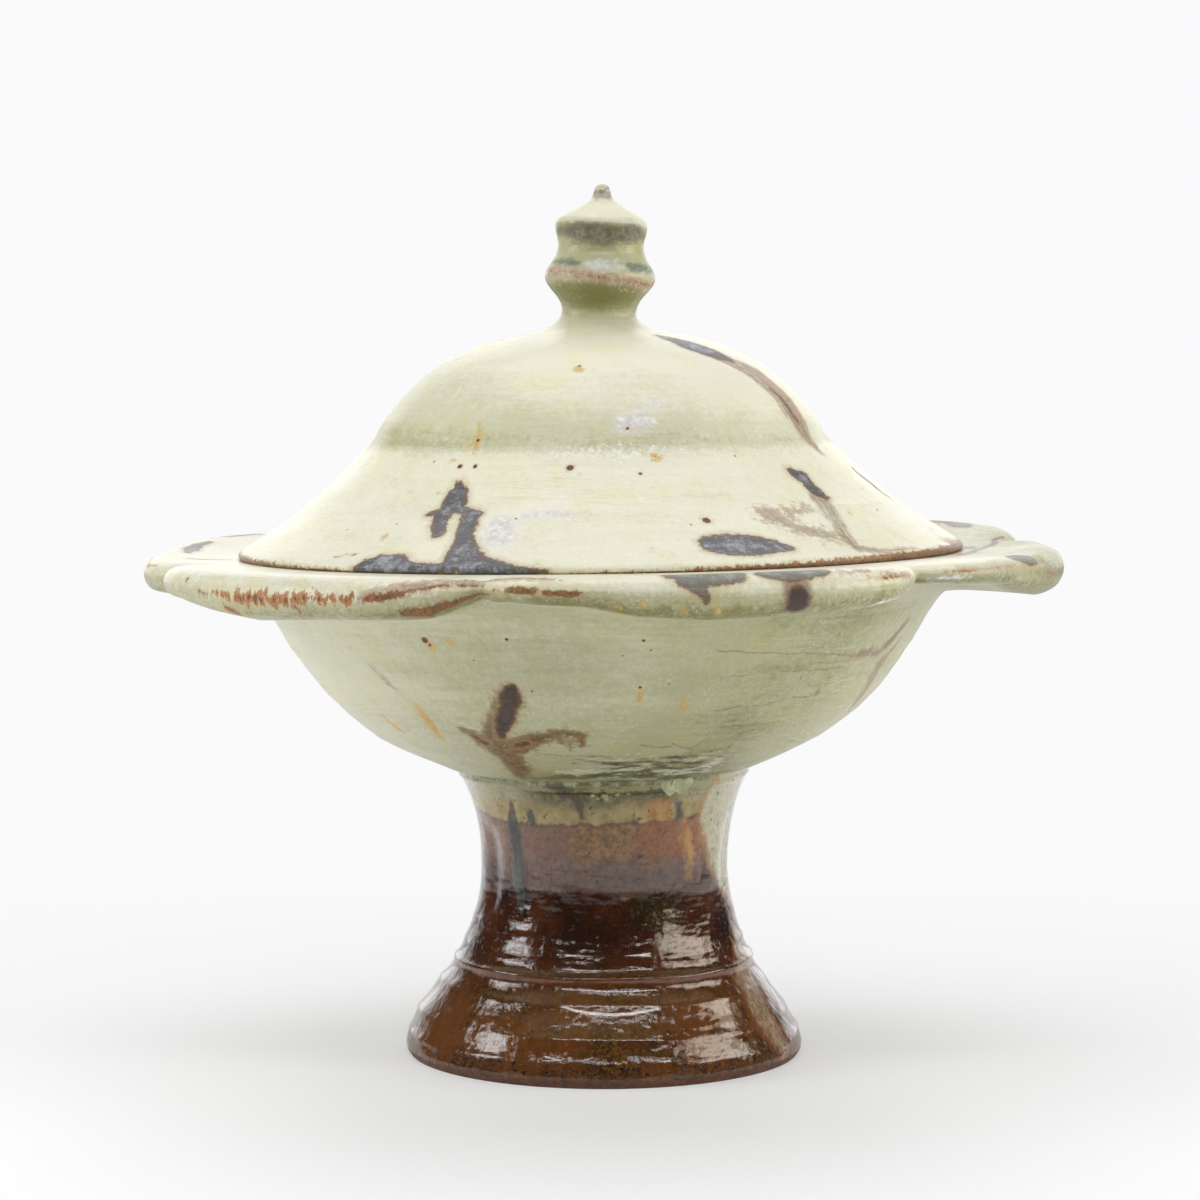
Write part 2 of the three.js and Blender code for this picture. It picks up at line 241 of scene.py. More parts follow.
# Single iron specks on the lid: turn, height, radius.
LID_SPECKS = [
    (-6.1, 158.1, 0.35), (-30.8, 142.5, 0.45), (-31.7, 137, 0.6), (-28.2, 136.8, 0.55),
    (-6.6, 136.5, 0.85), (6.8, 144.7, 0.35), (8.3, 135.4, 0.45), (18.9, 125.3, 1.05),
    (15.4, 124.8, 0.22), (60.9, 125.3, 0.3), (-40.3, 138, 0.25), (12.8, 138.9, 0.2),
    (-14.6, 126.3, 0.28), (32, 138.4, 0.25), (-49, 123.5, 0.22), (-38.6, 125, 0.2),
]

# The level of the bend between the lid's skirt and its dome.
LID_BEND = 139.4
# Ridges that the fingers leave on the lid and on the bowl: height, how proud, reach.
LID_RIDGES = [
    (137.8, 0.22, 0.8), (134.6, 0.12, 0.7), (131, 0.14, 0.8), (127.4, 0.2, 0.7), (123.4, 0.1, 0.8),
    (120, 0.14, 0.9), (145.6, 0.1, 1.2), (150.4, 0.12, 1.4), (155.8, 0.12, 1.6), (160.6, 0.1, 1.4),
]
BOWL_RIDGES = [
    (99.6, 0.16, 1.2), (94.8, 0.2, 1.3), (90.2, 0.14, 1.1), (84.6, 0.16, 1.2), (79.6, 0.12, 0.9),
    (74.4, 0.14, 0.7),
]

LID_MARKS = {
    "ink": LID_INK, "wash": LID_WASH, "scuff": LID_SCUFF, "bloom": LID_BLOOM, "ochre": LID_OCHRE,
    "rust": LID_EDGE_RUST,
}

# The darkest part of the bowl's brushed sprig, and the first of the small ticks beside it.
BOWL_INK = [
    [(-16.5, 90.2, 1.5), (-17.2, 88, 2.3), (-18, 86, 1.5), (-19.4, 83.6, 1.9), (-21, 81, 1.3),
     (-22.2, 79, 0.7)],
    [(-29, 78.8, 0.4), (-27.4, 77, 0.7)],
    [(-20.4, 76.6, 0.4), (-17.4, 77.4, 0.7)],
]
# The soft brown that the sprig and the short strokes at the bowl's right are drawn in.
BOWL_STAIN = [
    [(-16.8, 90.8, 1.3), (-17.2, 88.6, 2.8), (-18.8, 85.6, 3.2), (-21, 82.6, 2.9), (-23.4, 79.8, 2.8),
     (-24.4, 77.4, 2.6)],
    [(-30.8, 80.8, 0.6), (-28.8, 79.2, 1.8), (-27, 77.6, 2.8), (-25.4, 75.6, 3.1), (-24.2, 73.6, 3)],
    [(-24, 75, 2.4), (-20, 76.4, 3.2), (-16, 78, 2.8), (-12.4, 79.2, 1.7), (-8.4, 80.3, 1.3),
     (-4.8, 79.7, 1.3), (-4.6, 77, 0.7)],
    [(-9, 79.8, 0.4), (-9.6, 77.8, 0.6), (-7.6, 76.8, 0.5), (-6.8, 78.4, 0.4)],
    [(-23.7, 74, 3), (-24.9, 70.6, 2.8), (-27, 68.8, 2), (-28.7, 67.4, 1.1)],
    [(64, 101.2, 0.4), (62.8, 98.6, 0.9), (60.6, 96, 0.8)],
    [(50, 95.4, 0.1), (54, 95, 0.5), (58, 94.6, 0.7)],
]
# Faint brushing: at the right, at the back, and one thin grey stroke at the left.
BOWL_WASH = [
    [(65, 101, 0.8), (62.4, 97.4, 1.4), (59, 94.2, 1.4)],
    [(48, 94.6, 0.5), (55, 94.4, 1.2)],
    [(66, 96.4, 0.8), (63, 91, 2), (65, 86, 2), (69, 80, 0.8)],
    [(-130, 96.6, 0.5), (-126, 93.6, 1.9), (-123, 89.6, 1.4), (-121.6, 86, 0.4)],
    [(-45.2, 94.6, 0.4), (-43.5, 91.4, 0.8), (-41.8, 89.4, 0.4)],
]
BOWL_OCHRE = [
    [(-29.8, 101.2, 0.7), (-29.3, 99.6, 0.9), (-29, 98, 0.5)],
    [(-38.3, 85.7, 0.6), (-38, 81, 1.4), (-38.7, 77.3, 0.5)],
    [(-52.4, 82.8, 0.5), (-50.7, 78.4, 1)],
    [(6.6, 89.6, 0.3), (6.7, 87.5, 0.8)],
    [(14.9, 88, 0.4), (15.2, 85, 0.7)],
    [(-25.8, 101.2, 0.4), (-24.8, 100, 0.4)],
]
# The dark pool along the joint with the foot, and the pale shards that float on it.
BOWL_MURK = [
    [(-24, 67.4, 0.6), (-12, 68.2, 2), (2, 68.6, 2.6), (12, 69.2, 3.2), (22, 68.8, 2.6), (36, 68, 1.2)],
    [(0, 72.6, 0.3), (7, 72.2, 1.2), (12, 72.6, 0.4)],
    [(12, 71.4, 0.5), (18, 72, 1.5), (24, 71, 0.5)],
]
BOWL_SHARDS = [
    [(-14, 69.6, 0.6), (-8, 69.4, 2), (-2, 69.6, 0.8)],
    [(5, 70.6, 0.6), (9, 70.4, 1.3)],
    [(12, 69, 1), (18, 69.2, 1.9), (22, 68.4, 1)],
    [(25, 68.4, 1.6), (30, 69, 2.6), (35, 68.2, 1.2)],
]
BOWL_MARKS = {
    "ink": BOWL_INK, "stain": BOWL_STAIN, "wash": BOWL_WASH, "ochre": BOWL_OCHRE, "murk": BOWL_MURK,
    "shard": BOWL_SHARDS,
}
BOWL_SPECKS = [
    (-15, 101.2, 0.45), (6.8, 100.8, 0.35), (6.5, 90.3, 0.35), (8.3, 98.7, 0.25), (-29.7, 100.9, 0.8),
    (-12.6, 90, 0.25), (3.3, 97.6, 0.2), (-21.7, 96.9, 0.2), (-29.2, 99.6, 0.4),
]
# Long craze lines on the bowl: start turn and height, end turn and height, half width.
BOWL_CRAZE = [
    (17, 98.4, 50, 94.8, 0.1), (21, 92.4, 52, 92.2, 0.1), (20, 84.4, 47, 86.4, 0.11),
    (24, 80.4, 40, 80.2, 0.09), (7.6, 76.6, 16, 75.9, 0.16), (15, 77, 22, 74.6, 0.12),
    (-8, 73.4, 9, 71.4, 0.2), (-18, 74.6, 4, 74.2, 0.08),
]
# Craze lines that climb the bowl: turn, lowest and highest level, half width.
BOWL_CLIMBING_CRAZE = [(46, 80.6, 90, 0.11), (32, 73.4, 79.6, 0.13), (38.5, 88.6, 93, 0.1)]

# Marks on the rim: here a stroke is a path of (turn, reach, half width).
RIM_INK = [
    [(8.6, 24, 1.8), (12, 26, 4), (14.6, 27.4, 3.4)],
    [(7.8, 31, 1.4), (10.8, 31.6, 3.2), (14.6, 31.2, 3.2)],
    [(9.4, 33.2, 2), (10.8, 35.2, 1.6), (11.4, 38.2, 0.4)],
    [(19.8, 27, 1.4), (22, 28.4, 2.4), (24.6, 29, 1.6)],
    [(18.6, 31.6, 1.5), (21.5, 32.2, 2.3), (26, 31.4, 1.7)],
    [(59.4, 32, 1.6), (61.2, 33, 2.4), (63.4, 33.8, 1.4)],
    [(67, 14.6, 0.7), (80, 15, 0.6), (89, 17.5, 0.7), (98, 24, 0.5), (103, 31, 0.4)],
    [(84, 13.4, 1.2), (90, 14, 1.4)],
    [(-84, 14, 0.4), (-85.4, 18, 0.8), (-86.5, 24, 0.3)],
    [(-95, 26, 0.4), (-99, 26.6, 1.6), (-104, 27.6, 1), (-108, 27.2, 0.2)],
    [(-111, 30.4, 0.3), (-115, 30, 1.4), (-122, 28.6, 0.5)],
    [(113, 26.4, 0.4), (116, 27.2, 1.9), (121, 28.4, 0.8), (124, 28, 0.2)],
    [(-160, 23, 0.6), (-155, 24.4, 2.8), (-150, 26, 2), (-146, 30, 0.5)],
    [(148, 29, 0.4), (152, 29.4, 1.7), (158, 30.6, 2.4), (162, 30, 0.6)],
]
RIM_WASH = [
    [(64.4, 34, 0.4), (67, 34.5, 0.5), (70, 37.6, 0.4)],
    [(65.4, 36.4, 0.3), (68, 37.8, 0.4)],
    [(64, 32.6, 0.3), (68, 33.4, 0.4)],
]
# The mauve streak with rusty edges that crosses the front left petal.
RIM_BLUSH = [
    [(-27.6, 37.2, 1), (-24, 35.6, 1.7), (-20.6, 34, 2), (-17, 32.6, 1.9), (-14.6, 34.2, 1.2)],
    [(-15.4, 31.6, 1.4), (-10, 31.2, 1.4), (-4.5, 32.4, 0.7)],
    [(26, 31.6, 0.7), (32, 32.4, 1.2)],
    [(34.6, 34, 0.8), (38.4, 35.2, 0.9)],
    [(46, 36, 0.5), (52, 36.4, 0.9), (57, 35.6, 0.4)],
    [(66.5, 36, 0.8), (69.6, 38, 1)],
]
RIM_RUST = [
    [(-82, 34, 0.3), (-86, 34.6, 0.6), (-92, 33.5, 0.5), (-99, 31.5, 0.2)],
    [(-57.5, 34.8, 0.5), (-57, 35.8, 0.4)],
    [(-54.6, 36.4, 0.35), (-53.4, 37.6, 0.5), (-51.8, 37.9, 0.5)],
    [(-36.6, 39, 0.7), (-35.8, 41.2, 0.8)],
    [(-48.6, 40.6, 1), (-46.8, 41.6, 1.2)],
    [(-26.6, 37.3, 1), (-24.4, 36.8, 1.2), (-22.4, 36.2, 0.9)],
    [(-22, 35.6, 0.5), (-18, 34.2, 0.6), (-14.6, 35, 0.45)],
    [(-22.6, 40.8, 1.3), (-20, 41, 1.9), (-17.8, 40.4, 1.6), (-15.4, 39.4, 0.9), (-13.2, 38.8, 0.6)],
    [(-16.6, 31, 0.6), (-13.4, 30.6, 0.5), (-10, 30.4, 0.6), (-5.5, 31.8, 0.3)],
    [(-10, 37, 1.6), (-7.6, 37.1, 1.4)],
    [(-5.9, 37.7, 1), (-3.6, 37.8, 1.4), (-2.4, 37.7, 0.8)],
    [(-12, 36.8, 0.7)],
    [(-1.6, 38.6, 0.3)],
    [(31.4, 34.5, 0.1), (34, 35, 0.4), (37.2, 35, 0.3)],
    [(45.6, 36.6, 0.3), (48.8, 36.6, 0.4)],
    [(128, 36, 0.7), (138, 37, 0.9)],
    [(-140, 36, 0.6), (-128, 36.5, 0.8)],
    [(176, 36, 0.5), (186, 37, 0.9)],
]
# The row of short rust ticks where the glaze thins over the front left petal's edge.
RIM_TICKS = [
    [(-50, 37.4, 1), (-44, 37.6, 1.5), (-38, 37.6, 1.6), (-32, 37.5, 1.5), (-28.4, 37.4, 1)],
    [(112, 37.4, 0.9), (124, 37.6, 1.5)],
    [(-176, 37.4, 0.9), (-168, 37.6, 1.4)],
]
RIM_OCHRE = [
    [(1.6, 40.6, 0.7)], [(4.7, 38.8, 0.4), (4.8, 39.8, 0.3)], [(7.4, 38.6, 0.3)], [(8.7, 40.2, 0.8)],
    [(12.7, 38.6, 0.3), (12.8, 41, 0.5)], [(-49.2, 41, 1.2)], [(-46, 42, 1.2)], [(-3, 37.4, 0.5)],
]
RIM_BURNT = [
    [(22, 36.2, 2.9), (22, 39.6, 2.9)],
    [(-154, 34, 0.8), (-152.4, 36.6, 2), (-151, 39.6, 1)],
]
# Pale patches by the notch right of the front: a painted sheen on the roll.
RIM_PAINTED_SHEEN = [
    [(33, 43, 0.7), (38, 41.6, 0.9), (41.6, 40, 0.7)],
    [(44, 39.5, 0.5), (48, 39.5, 0.7)],
]

RIM_MARKS = {
    "ink": RIM_INK, "wash": RIM_WASH, "rust": RIM_RUST, "ticks": RIM_TICKS, "ochre": RIM_OCHRE,
    "bloom": RIM_PAINTED_SHEEN, "burnt": RIM_BURNT, "blush": RIM_BLUSH,
}

# Marks on the foot: a dark comma and thin streaks in the khaki band, and what runs from them.
FOOT_COMMA = [
    [(-23, 65.2, 0.6), (-17.3, 64.8, 1.1), (-12.7, 63.2, 1.3), (-10, 60.4, 0.9), (-9.1, 57.8, 0.4)],
]
FOOT_STREAK = [
    [(-43.4, 57.6, 1.1), (-43.2, 54, 1.9), (-43.6, 47, 2), (-42.3, 41.5, 2.2), (-39.4, 36, 1)],
    [(-33, 58.6, 0.8), (-33, 56.6, 1.1)],
    [(31, 60.6, 0.7), (33.6, 57.5, 0.9), (35, 54, 0.5)],
    [(140, 58, 1), (141, 52, 1.6), (140, 44, 1.4), (142, 37, 0.7)],
]
FOOT_BLACK = [[(-38.2, 40.4, 0.8), (-37.4, 35, 0.8)]]
FOOT_RUST_DRIP = [[(-41.8, 61.2, 0.3), (-42.8, 58, 1)], [(138, 61, 0.4), (139, 57, 1)]]
FOOT_OCHRE = [
    [(20, 60.2, 1.6), (26.5, 60, 1.6)],
    [(19.5, 58.4, 1.6), (27.5, 58.2, 1.6)],
    [(35.6, 55.4, 1.2), (39, 52.6, 1.5), (41.6, 48, 1.1), (42.8, 43, 0.5)],
]
# Pale drops of thick ash under the joint.
FOOT_DROPS = [
    [(-4.4, 63.2, 0.4)], [(-2.6, 62.4, 0.3)], [(0.4, 62.9, 0.6), (0.8, 61.9, 0.4)], [(2.8, 61.4, 0.35)],
    [(5, 63.2, 0.5)], [(6.8, 62.4, 0.35)], [(9, 63.4, 0.3)], [(24, 64.8, 1.2), (27, 63, 0.7)],
    [(30, 64.8, 1.7), (33.4, 63, 0.8)], [(34.6, 65.2, 1.2)], [(29, 60, 0.5)],
]
FOOT_MARKS = {
    "comma": FOOT_COMMA, "streak": FOOT_STREAK, "black": FOOT_BLACK, "drip": FOOT_RUST_DRIP,
    "amber": FOOT_OCHRE, "drops": FOOT_DROPS,
}
# The pale ash run that crosses the foot's right flank: turn, height, half width.
FOOT_RUN = [
    [(66, 64, 10), (66, 58, 8), (80, 54, 14), (88, 46, 12), (92, 36, 7), (86, 29, 4)],
    [(50, 62, 2), (50, 57, 2.4), (56, 52, 2), (60, 46, 1)],
    [(86, 31, 4.2), (72, 24.5, 3.8), (62, 18, 3.6), (60, 11, 3.9), (64, 4.6, 2.8)],
    [(-104, 62, 9), (-100, 52, 6), (-96, 44, 3), (-94, 38, 1.2)],
    [(-142, 60, 8), (-138, 50, 4), (-140, 40, 1.5)],
]

# The level of the sharpest ridge, where the brown glaze breaks to rust.
FOOT_CREST = 21.5
# Where the ash that ran from the bowl ends, and where the mauve haze below it does; the haze is milky
# glaze with a painted reflection of the white floor.
ASH_LINE = 56.4
HAZE_AND_REFLECTION_LINE = 39.8
# Ridges that the fingers leave on the foot: height, how proud, reach above and below.
FOOT_RIDGES = [
    (32, 0.16, 2.6, 2.2), (26.6, 0.36, 2, 1.6), (22.2, 1, 1.2, 0.9), (17, 0.6, 2, 2.4),
    (10, 0.6, 2.4, 2.4), (5.2, 0.4, 1.3, 1.3), (64.6, 0.7, 0.8, 0.9),
]
# Dents in the waist: turn, lowest and highest level, width, depth.
FOOT_DENTS = [(-62, 32, 56, 6, 0.9), (74, 36, 58, 7, 0.6), (150, 30, 54, 8, 0.8)]


def clamp(value):
    return np.clip(value, 0, 1)


def eased(value, low, high):
    """0 below low, 1 above high, and a soft step in between."""
    share = clamp((value - low) / (high - low))
    return share * share * (3 - 2 * share)


def flank(turn, near, far):
    """0 in front and behind, and 1 on the right-hand side, from a soft step between two turns."""
    return eased(turn, near, far) * eased(-turn, -165, -120)


def painted_side_light(turn):
    """How much lighter the ash is painted round the bowl and rim than at its front, as painted light
    and shade.
    """
    return 0.18 * flank(-turn, 15, 75) - 0.2 * flank(turn, 0, 35) + 0.12 * flank(turn, 45, 75)


def wedge(value, low, high):
    """How far a value lies inside a span, below zero outside it."""
    return np.minimum(value - low, high - value)


def between(turn, start):
    """The turn from a starting direction, from -180 to 180 degrees."""
    return (turn - start + 180) % 360 - 180


def smooth_run(points, step):
    """Evenly stepped points along a smooth curve through a few hand-set ones."""
    curve = points = np.array(points, float)
    if len(points) > 2:
        ends = np.vstack([2 * points[0] - points[1], points, 2 * points[-1] - points[-2]])
        fine = np.linspace(0, 1, 24, endpoint=False)[:, None]
        parts = []
        for a, b, c, d in zip(ends, ends[1:], ends[2:], ends[3:]):
            bend = (2 * a - 5 * b + 4 * c - d) * fine**2 + (3 * b - a - 3 * c + d) * fine**3
            parts.append(0.5 * (2 * b + (c - a) * fine + bend))
        curve = np.vstack([*parts, points[-1:]])
    reach = np.concatenate([[0], np.cumsum(np.linalg.norm(np.diff(curve, axis=0), axis=1))])
    even = np.linspace(0, reach[-1], max(2, round(reach[-1] / step)) + 1)
    return np.column_stack([np.interp(even, reach, curve[:, i]) for i in (0, 1)])


def waver(points, size, seed):
    """A soft unevenness from about -1 to 1 over points, with swells of about the given size."""
    chance = np.random.default_rng(seed)
    total = np.zeros(len(points))
    waves = 14
    for _ in range(waves):
        way = chance.normal(size=3)
        way *= chance.uniform(0.7, 1.3) * math.tau / size / np.linalg.norm(way)
        total += np.sin(points @ way + chance.uniform(0, math.tau))
    return total / math.sqrt(waves / 2) / 1.8


class Wall:
    """A thrown wall: its mesh, and where each of its points lies on the pot."""

    def __init__(self, name, runs, base, steps):
        """Turns a ring of points, laid along the wall's outline, about the axis of the wheel."""
        lines = [smooth_run(points, step) for points, step in runs]
        outline = np.vstack([line[:-1] for line in lines])
        if np.linalg.norm(lines[-1][-1] - outline[0]) > WELD:
            outline = np.vstack([outline, lines[-1][-1:]])
        outline[:, 1] += base
        steps_along = np.linalg.norm(np.diff(outline, axis=0), axis=1)
        reach = np.concatenate([[0], np.cumsum(steps_along)])
        shown = len(lines[0])
        self.face_heights = outline[:shown, 1].copy()
        self.face_reach = reach[:shown]
        self.lay_ring(name, outline)
        self.note("reach", reach)
        self.turn_wheel(steps)
        mesh = self.piece.data
        flat = np.zeros(len(mesh.vertices) * 3)
        mesh.vertices.foreach_get("co", flat)
        self.points = flat.reshape(-1, 3) / MM
        self.reach = np.zeros(len(mesh.vertices))
        mesh.attributes["reach"].data.foreach_get("value", self.reach)
        self.turn = np.degrees(np.arctan2(self.points[:, 0], -self.points[:, 1]))
        self.radius = np.hypot(self.points[:, 0], self.points[:, 1])
        self.height = self.points[:, 2].copy()
        self.faces_out = self.reach <= self.face_reach[-1] + WELD

    def lay_ring(self, name, outline):
        """Adds a ring of points and lays it along the outline."""
        bpy.ops.object.select_all(action="DESELECT")
        bpy.ops.mesh.primitive_circle_add(vertices=len(outline), radius=1)
        self.piece = bpy.context.object
        self.piece.name = self.piece.data.name = name
        points = np.zeros((len(outline), 3))
        points[:, 0] = outline[:, 0]
        points[:, 2] = outline[:, 1]
        self.piece.data.vertices.foreach_set("co", (points * MM).ravel())

    def turn_wheel(self, steps):
        """Turns the ring once round the wheel and closes the skin."""
        bpy.ops.object.modifier_add(type="SCREW")
        wheel = self.piece.modifiers[-1]
        wheel.steps = wheel.render_steps = steps
        wheel.angle = math.tau
        wheel.use_merge_vertices = True
        wheel.merge_threshold = WELD * MM
        bpy.ops.object.modifier_apply(modifier=wheel.name)
        bpy.ops.object.mode_set(mode="EDIT")
        bpy.ops.mesh.select_all(action="SELECT")
        bpy.ops.mesh.remove_doubles(threshold=WELD * MM)
        bpy.ops.mesh.delete_loose()
        bpy.ops.mesh.select_all(action="SELECT")
        bpy.ops.mesh.normals_make_consistent(inside=False)
        bpy.ops.object.mode_set(mode="OBJECT")
        bpy.ops.object.shade_smooth()

    def note(self, name, values):
        """Keeps one number for each point of the mesh, for the glaze to read."""
        mesh = self.piece.data
        found = mesh.attributes.get(name) or mesh.attributes.new(name, "FLOAT", "POINT")
        found.data.foreach_set("value", np.asarray(values, np.float32))

    def ridge(self, ridges, seed, base=0.0, fade=1.0):
        """Raises throwing ridges, uneven round the pot, and lets the wall wander."""
        height = self.height + waver(self.points, size=70, seed=seed) * 0.7
        proud = np.full(len(height), float(base))
        for level, rise, *reach in ridges:
            share = 1 + 0.5 * waver(self.points + level * 7, size=45, seed=seed + 1)
            spread = np.where(height > level, reach[0], reach[-1])
            proud += rise * share * np.exp(-np.abs(height - level) / spread)
        wander = waver(self.points, size=22, seed=seed + 2) * 0.5
        wander = wander * bpy.context.scene.dish_shape.unevenness / MM
        self.swell(np.where(self.faces_out, (proud + wander) * fade, 0))

    def set_radius(self, radius):
        """Moves every point in or out, along its own turn."""
        angle = np.radians(self.turn)
        self.points[:, 0] = radius * np.sin(angle)
        self.points[:, 1] = -radius * np.cos(angle)
        self.radius = radius

    def swell(self, amount):
        """Moves every point out along the wall's own normal."""
        mesh = self.piece.data
        mesh.vertices.foreach_set("co", (self.points * MM).ravel())
        mesh.update()
        normals = np.zeros(len(mesh.vertices) * 3)
        mesh.vertices.foreach_get("normal", normals)
        self.points += normals.reshape(-1, 3) * np.asarray(amount)[:, None]

    def reach_at(self, height):
        """How far over the shown face a height lies, from where the outline starts."""
        order = np.argsort(self.face_heights)
        return float(np.interp(height, self.face_heights[order], self.face_reach[order]))

    def inside(self, strokes, by_reach=False):
        """Millimetres inside the nearest edge of some brushed strokes, below zero outside.

        A stroke is a path of (turn, height, half width). Where by_reach is set, the second
        number is the reach over the clay instead of the height."""
        best = np.full(len(self.turn), FAR_OUT)
        self.across = np.zeros(len(self.turn))
        for stroke in strokes:
            path = [(t, h if by_reach else self.reach_at(h), w) for t, h, w in stroke]
            if len(path) == 1:
                path = path * 2
            for (turn, reach, width), (next_turn, next_reach, next_width) in zip(path, path[1:]):
                x = np.radians(between(self.turn, turn)) * self.radius
                y = self.reach - reach
                run = np.radians(between(next_turn, turn)) * self.radius
                rise = next_reach - reach
                share = clamp((x * run + y * rise) / (run**2 + rise**2 + LEAST))
                away = np.hypot(x - share * run, y - share * rise)
                within = width + (next_width - width) * share - away
                side = (x * rise - y * run) / math.sqrt(LEAST + float(np.mean(run))**2 + rise**2)
                self.across = np.where(within > best, side, self.across)
                best = np.maximum(best, within)
        return np.where(self.faces_out, best, FAR_OUT)

    def brush(self, marks, by_reach=False):
        """Notes each kind of mark, and for the brushed ones where a point lies across the brush."""
        for name, strokes in marks.items():
            self.note(name, self.inside(strokes, by_reach))
            if name in ("ink", "wash"):
                self.note(name + " across", self.across)

    def lean(self):
        """Tilts what stands above the foot's waist about the foot's top."""
        share = eased(self.points[:, 2], WAIST_LEVEL, FOOT_TOP)
        angle = bpy.context.scene.dish_shape.lean * share
        x = self.points[:, 0].copy()
        above = self.points[:, 2] - FOOT_TOP
        self.points[:, 0] = x * np.cos(angle) - above * np.sin(angle)
        self.points[:, 2] = FOOT_TOP + above * np.cos(angle) + x * np.sin(angle)

    def spot(self, turn, height):
        """The point of the shown face at a turn and height, once the piece is finished."""
        x = np.radians(between(self.turn, turn)) * self.radius
        away = np.hypot(x, self.reach - self.reach_at(height))
        return tuple(self.points[np.argmin(np.where(self.faces_out, away, np.inf))])

    def finish(self, body, node, slot):
        """Writes the points back and sets the piece on its body, in place of its plain solid."""
        self.note("level", self.height)
        self.lean()
        mesh = self.piece.data
        mesh.vertices.foreach_set("co", (self.points * MM).ravel())
        mesh.update()
        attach(self.piece, body)
        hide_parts(node)

    def glaze(self, material):
        """Gives the piece its finish."""
        self.piece.data.materials.clear()
        self.piece.data.materials.append(material)


def paint(red, green, blue):
    """A colour given as it reads on a screen, 0 to 255, as the renderer's linear colour."""
    shares = [value / 255 for value in (red, green, blue)]
    return tuple(s / 12.92 if s <= 0.04045 else ((s + 0.055) / 1.055) ** 2.4 for s in shares) + (1.0,)


class Value:
    """A number, colour or vector from a material's node, for use in a Python expression."""

    def __init__(self, glaze, socket):
        self.glaze = glaze
        self.socket = socket

    def maths(self, operation, *others):
        return self.glaze.maths(operation, self, *others)

    def __add__(self, other):
        return self.maths("ADD", other)

    def __sub__(self, other):
        return self.maths("SUBTRACT", other)

    def __rsub__(self, other):
        return self.glaze.maths("SUBTRACT", other, self)

    def __mul__(self, other):
        return self.maths("MULTIPLY", other)

    def __truediv__(self, other):
        return self.maths("DIVIDE", other)

    __radd__ = __add__
    __rmul__ = __mul__

    def most(self, other):
        return self.maths("MAXIMUM", other)

    def least(self, other):
        return self.maths("MINIMUM", other)

    def size(self):
        return self.maths("ABSOLUTE")

    def step(self, low, high):
        """0 below low, 1 above high, and a soft step in between."""
        inputs = {"Value": self, "From Min": low, "From Max": high}
        return self.glaze.node("MapRange", {"interpolation_type": "SMOOTHSTEP"}, inputs)

    def tones(self, first, second):
        """The mottle that this share makes of two colours."""
        return self.glaze.mix(self, first, second)


